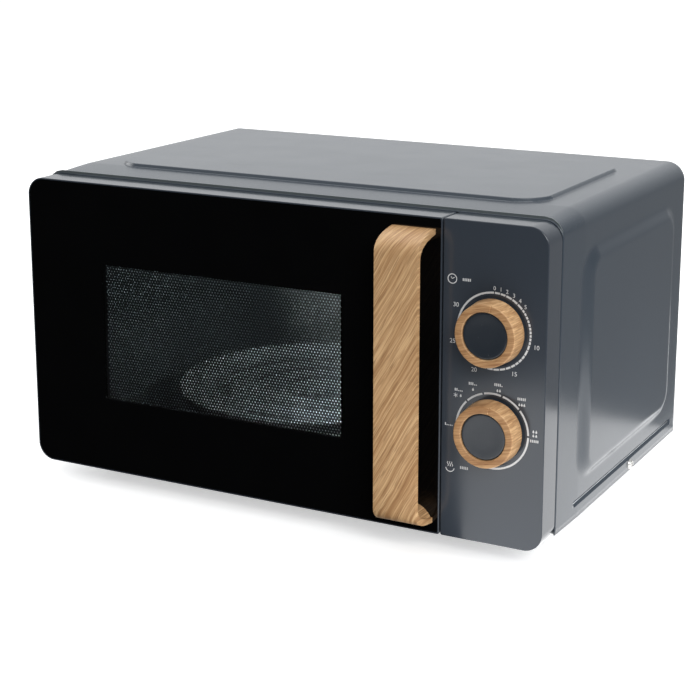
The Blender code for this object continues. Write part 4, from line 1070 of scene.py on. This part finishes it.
def numeral(text, x, z, size):
    """A number's mesh on the panel's face."""
    words = bpy.data.curves.new("numeral", "FONT")
    words.body = text
    words.size = size
    words.align_x = "CENTER"
    words.align_y = "CENTER"
    words.resolution_u = 3
    words.extrude = (PRINT_FAR - PRINT_NEAR) / 2
    return flat_shape(words, x, (PRINT_NEAR + PRINT_FAR) / 2, z)


def marks(*outlines):
    """Printed shapes, each a mesh of one outline."""
    return [plate("mark", [outline], PRINT_NEAR, PRINT_FAR) for outline in outlines]


def scale_ring(x, z, gaps, gap):
    """A ring round a dial, broken at each angle in gaps."""
    shapes = []
    for index, start in enumerate(gaps):
        end = gaps[(index + 1) % len(gaps)]
        if end <= start:
            end += 360
        count = max(3, round((end - start) / 4))
        arc = bow(x, z, SCALE_RADIUS, start + gap / 2, end - gap / 2, count)
        shapes.append(stroke(arc, SCALE_WIDTH))
    return marks(*shapes)


def ring_mark(x, z, radius, width, count=28):
    outer = circle(x, z, radius, count)
    inner = circle(x, z, radius - width, count)
    return plate("mark", [outer, inner], PRINT_NEAR, PRINT_FAR)


def level_bars(x, z, tall=BARS):
    """A row of small bars, the first ones tall: a level without words."""
    shapes = []
    for index in range(BARS):
        left = x + (index - BARS / 2) * BAR_STEP
        height = TALL_BAR if index < tall else LOW_BAR
        shapes.append(rectangle(left, left + BAR_WIDTH, z, z + height))
    return marks(*shapes)


def snowflake(x, z, size):
    shapes = []
    for turn in range(3):
        a = math.radians(60 * turn)
        way = Vector((math.sin(a), math.cos(a))) * size
        centre = Vector((x, z))
        shapes.append(stroke([centre - way, centre + way], size * 0.22))
    return marks(*shapes)


def steaming_bowl(x, z):
    """Three waves of steam over the arc of a bowl."""
    shapes = []
    for index in (-1, 0, 1):
        sx = x + index * 0.0017
        wave = [(sx + 0.0005 * math.sin(t / 5 * 2 * math.pi), z + 0.0007 * t) for t in range(6)]
        shapes.append(stroke(wave, FINE_LINE))
    shapes.append(stroke(bow(x, z - 0.0006, BOWL_RADIUS, 100, 260, 12), LINE))
    return marks(*shapes)


def build_timer_scale():
    x, z = dial_centre("timer")
    shapes = scale_ring(x, z, TIMER_GAPS, 1.5)
    for text, angle in MINUTES.items():
        turn = math.radians(angle)
        reach = MINUTE_REACH[len(text)]
        shapes.append(numeral(text, x + reach * math.sin(turn), z + reach * math.cos(turn),
                              MINUTE_SIZE[len(text)]))
    clock_x, clock_z = x + CLOCK[0], z + CLOCK[1]
    hands = [(clock_x - 0.0010, clock_z + 0.0014), (clock_x, clock_z), (clock_x + 0.0018, clock_z + 0.0012)]
    shapes.append(ring_mark(clock_x, clock_z, CLOCK_RADIUS, LINE))
    shapes += marks(stroke(hands, FINE_LINE))
    shapes += level_bars(clock_x + BARS_AFTER_SIGN, clock_z - 0.0008)
    show("timer_scale_print", joined("timer_scale", shapes), INK, "cabinet")


def build_power_scale():
    x, z = dial_centre("power")
    shapes = scale_ring(x, z, POWER_GAPS, 3.0)
    for dx, dz, drops, level in POWER_MARKS:
        shapes += level_bars(x + dx, z + dz + 0.0022, level)
        beside_snow = 0.0014 if level == 2 else 0
        for index in range(drops):
            offset = (index - (drops - 1) / 2) * 0.0019
            shapes += marks(drop(x + dx + offset + beside_snow, z + dz - 0.0010))
    shapes += snowflake(x + SNOWFLAKE[0], z + SNOWFLAKE[1], SNOWFLAKE_SIZE)
    full_x, full_z = x + FULL_POWER[0], z + FULL_POWER[1]
    for dz in (0.0, 0.0030):
        for dx in (-0.0011, 0.0011):
            shapes += marks(drop(full_x + dx, full_z + dz))
    shapes += level_bars(full_x, full_z - 0.0050)
    bowl_x, bowl_z = x + STEAM[0], z + STEAM[1]
    shapes += steaming_bowl(bowl_x, bowl_z)
    shapes += level_bars(bowl_x + BARS_AFTER_SIGN, bowl_z - 0.0006)
    show("power_scale_print", joined("power_scale", shapes), INK, "cabinet")


# ---------------------------------------------------------------- inside the cavity
TRAY_FLOOR = 0.004
TRAY_RINGS = (0.030, 0.060, 0.090)
TRAY_RING_HALF = 0.0012
TRAY_RING_RISE = 0.0007
AIR_HOLE_RADIUS = 0.0014
AIR_HOLE_SIDES = 10
AIR_HOLE_STEP = 0.0045
AIR_ROW_STEP = 0.004
AIR_ROWS = 3
ON_WALL = 0.0002


def build_tray():
    """The glass turntable, with its raised rim and moulded rings."""
    low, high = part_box("glass_tray")
    edge = (high.x - low.x) / 2
    centre, rim = standing("glass_tray")
    upper = [(0, TRAY_FLOOR)]
    for radius in TRAY_RINGS:
        upper += [(radius - TRAY_RING_HALF, TRAY_FLOOR), (radius, TRAY_FLOOR + TRAY_RING_RISE),
                  (radius + TRAY_RING_HALF, TRAY_FLOOR)]
    upper += [(0.108, TRAY_FLOOR), (0.1155, TRAY_FLOOR + 0.0025), (0.1200, rim - 0.0004),
              (edge - 0.001, rim), (edge, rim - 0.0008)]
    lower = [(0.1185, TRAY_FLOOR), (0.1095, 0), (0, 0)]
    show("turntable_glass", lathe("tray", upper + lower, centre, "up", 144), LOOKS["clear_glass"],
         "turntable", ("glass_tray",), sharp=60)


def build_cavity_details():
    """Rows of small air holes in the cavity's side walls, drawn as flat discs coloured with painted shade.
    """
    low, high = local_box("oven_cavity")
    shapes = []
    for x, y0, z0, columns in ((high.x - SHEET - ON_WALL, 0.0765, 0.190, 7),
                               (low.x + SHEET + ON_WALL, 0.246, 0.165, 9)):
        for column in range(columns):
            for row in range(AIR_ROWS):
                y = y0 + (column - columns / 2) * AIR_HOLE_STEP + (row % 2) * AIR_HOLE_STEP / 2
                z = z0 + row * AIR_ROW_STEP
                ring = [at(x, *p) for p in circle(y, z, AIR_HOLE_RADIUS, AIR_HOLE_SIDES)]
                shapes.append(mesh_of("hole", ring, [tuple(range(AIR_HOLE_SIDES))]))
    show("cavity_air_holes", joined("holes", shapes), SHADOW_GAP, "cabinet")


build_casing()
build_screws()
build_feet()
build_control_panel()
build_door_frame()
door_panes = build_door_glass()
build_screen()
build_handle()
build_knobs()
build_timer_scale()
build_power_scale()
build_tray()
build_cavity_details()


# ---------------------------------------------------------------- stage
FLOOR_HALF = 9
AIM = (0, 0, 0.13)
CAMERA_PLACE = (0.6392, -1.0637, 0.4661)
CAMERA_PITCH = 13.11
CAMERA_YAW = 28.15
CAMERA_LENS = 86.7
CAMERA_SHIFT = -0.1
BRIGHT_SIDE = (-0.57, 0.80, 0.2)
BEHIND = (0.30, 0.95, 0.0)
SKY_TINT = (0.97, 0.985, 1, 1)


def build_floor():
    corners = [(-FLOOR_HALF, -FLOOR_HALF, 0), (FLOOR_HALF, -FLOOR_HALF, 0),
               (FLOOR_HALF, FLOOR_HALF, 0), (-FLOOR_HALF, FLOOR_HALF, 0)]
    mesh = mesh_of("floor", corners, [(0, 1, 2, 3)])
    floor = placed("floor", mesh)
    look = Look("pale_floor", Roughness=0.6, Specular_IOR_Level=0.2, Emission_Strength=0.5,
                Emission_Color=(1, 1, 1, 1))
    look.drive("Base Color", look.mix(look.noise(3, 3), (0.86, 0.86, 0.86), (0.90, 0.90, 0.90)))
    mesh.materials.append(look.material)
    floor.visible_glossy = False
    floor.visible_diffuse = False


def lamp(name, place, target, size, radiance, colour=(1, 1, 1), turn=0.0):
    """A rectangular softbox at a place, facing a target; radiance 1 shows as plain white."""
    data = bpy.data.lights.new(name, "AREA")
    data.shape = "RECTANGLE"
    data.size, data.size_y = size
    data.energy = radiance * size[0] * size[1] * math.pi
    data.color = colour
    made = placed(name, data)
    facing = (Vector(target) - Vector(place)).to_track_quat("-Z", "Y").to_matrix().to_4x4()
    made.matrix_world = (Matrix.Translation(place) @ Matrix.Rotation(turn, 4, "Z") @ facing)
    made.visible_camera = False
    return made


def bounce(name, x, y, size, radiance, turn=0.0):
    """A patch of bright floor, seen by the oven only."""
    place = at(x, y, 0)
    place.z = 0.001
    return lamp(name, place, place + Vector((0, 0, 1)), size, radiance, turn=turn)


def keep_off(light, pieces):
    """Makes a light skip some pieces."""
    skipped = bpy.data.collections.new(f"{light.name}_skips")
    for piece in pieces:
        skipped.objects.link(piece)
    light.light_linking.receiver_collection = skipped
    for member in skipped.collection_objects:
        member.light_linking.link_state = "EXCLUDE"


def build_lights():
    """Softboxes for the shape, floor patches for the gradients, and a lamp in the cavity."""
    lamp("overhead", (0.0, 0.3, 2.0), AIM, (1.4, 1.0), 2.0)
    lamp("front_right", (1.5, -1.7, 1.3), AIM, (1.3, 1.1), 8.0)
    lamp("right", (2.2, 0.0, 1.1), AIM, (1.0, 1.2), 4.0)
    lamp("left", (-2.2, 0.2, 1.3), AIM, (1.0, 1.2), 3.0)
    lamp("rear", (0.5, 2.3, 1.0), AIM, (1.2, 1.0), 4.0).visible_glossy = False
    bounce("right_bounce", 0.425, 0.19, (0.45, 0.35), 1.6)
    bounce("left_bounce", -0.475, 0.26, (0.55, 0.45), 2.0)
    bounce("rear_bounce", 0.0, 0.60, (0.50, 0.45), 1.6)
    panel_bounce = bounce("panel_bounce", 0.23, -0.26, (0.34, 0.46), 2.1, math.radians(-25))
    keep_off(panel_bounce, door_panes)
    lamp("cavity_glow", at(0.098, 0.085, 0.167), at(-0.16, 0.13, 0.07), (0.03, 0.02), 950,
         (1, 0.99, 0.96))


def build_world():
    """White to the eye; for light, bright behind and below the oven and dark in front of it."""
    world = bpy.data.worlds.new("studio")
    bpy.context.scene.world = world
    world.use_nodes = True
    tree = world.node_tree
    tree.nodes.clear()

    def node(kind, inputs, **settings):
        return added(tree, kind, inputs, settings)

    def step(value, low, high, start, end):
        return node("ShaderNodeMapRange", {"Value": value, "From Min": low, "From Max": high,
                                           "To Min": start, "To Max": end},
                    interpolation_type="SMOOTHSTEP").outputs["Result"]

    def towards(way):
        return node("ShaderNodeVectorMath", {0: direction, 1: way},
                    operation="DOT_PRODUCT").outputs["Value"]

    direction = node("ShaderNodeTexCoord", {}).outputs["Generated"]
    height = node("ShaderNodeSeparateXYZ", {0: direction}).outputs["Z"]
    screen = step(towards(BRIGHT_SIDE), 0.40, 0.85, 0.0, 0.80)
    ceiling = step(height, 0.35, 0.95, 0.16, 0.75)
    upper = node("ShaderNodeMath", {0: screen, 1: ceiling}, operation="ADD").outputs[0]
    lower = step(towards(BEHIND), -0.2, 0.6, 0.02, 0.30)
    above = step(height, -0.06, 0.04, 0.0, 1.0)
    strength = node("ShaderNodeMix", {0: above, 2: lower, 3: upper}, data_type="FLOAT").outputs[0]
    glow = node("ShaderNodeBackground", {"Color": SKY_TINT, "Strength": strength})
    white = node("ShaderNodeBackground", {"Color": (1, 1, 1, 1), "Strength": 1.0})
    seen = node("ShaderNodeLightPath", {}).outputs["Is Camera Ray"]
    both = node("ShaderNodeMixShader", {0: seen, 1: glow.outputs[0], 2: white.outputs[0]})
    node("ShaderNodeOutputWorld", {"Surface": both.outputs[0]})


def build_camera():
    data = bpy.data.cameras.new("camera")
    data.lens = CAMERA_LENS
    data.sensor_width = 36
    data.shift_y = CAMERA_SHIFT
    camera = placed("camera", data)
    camera.location = at(*CAMERA_PLACE)
    camera.rotation_euler = (math.radians(90 - CAMERA_PITCH), 0, math.radians(CAMERA_YAW))
    bpy.context.scene.camera = camera


build_floor()
build_world()
build_camera()
build_lights()
bpy.context.scene.view_settings.view_transform = "Standard"
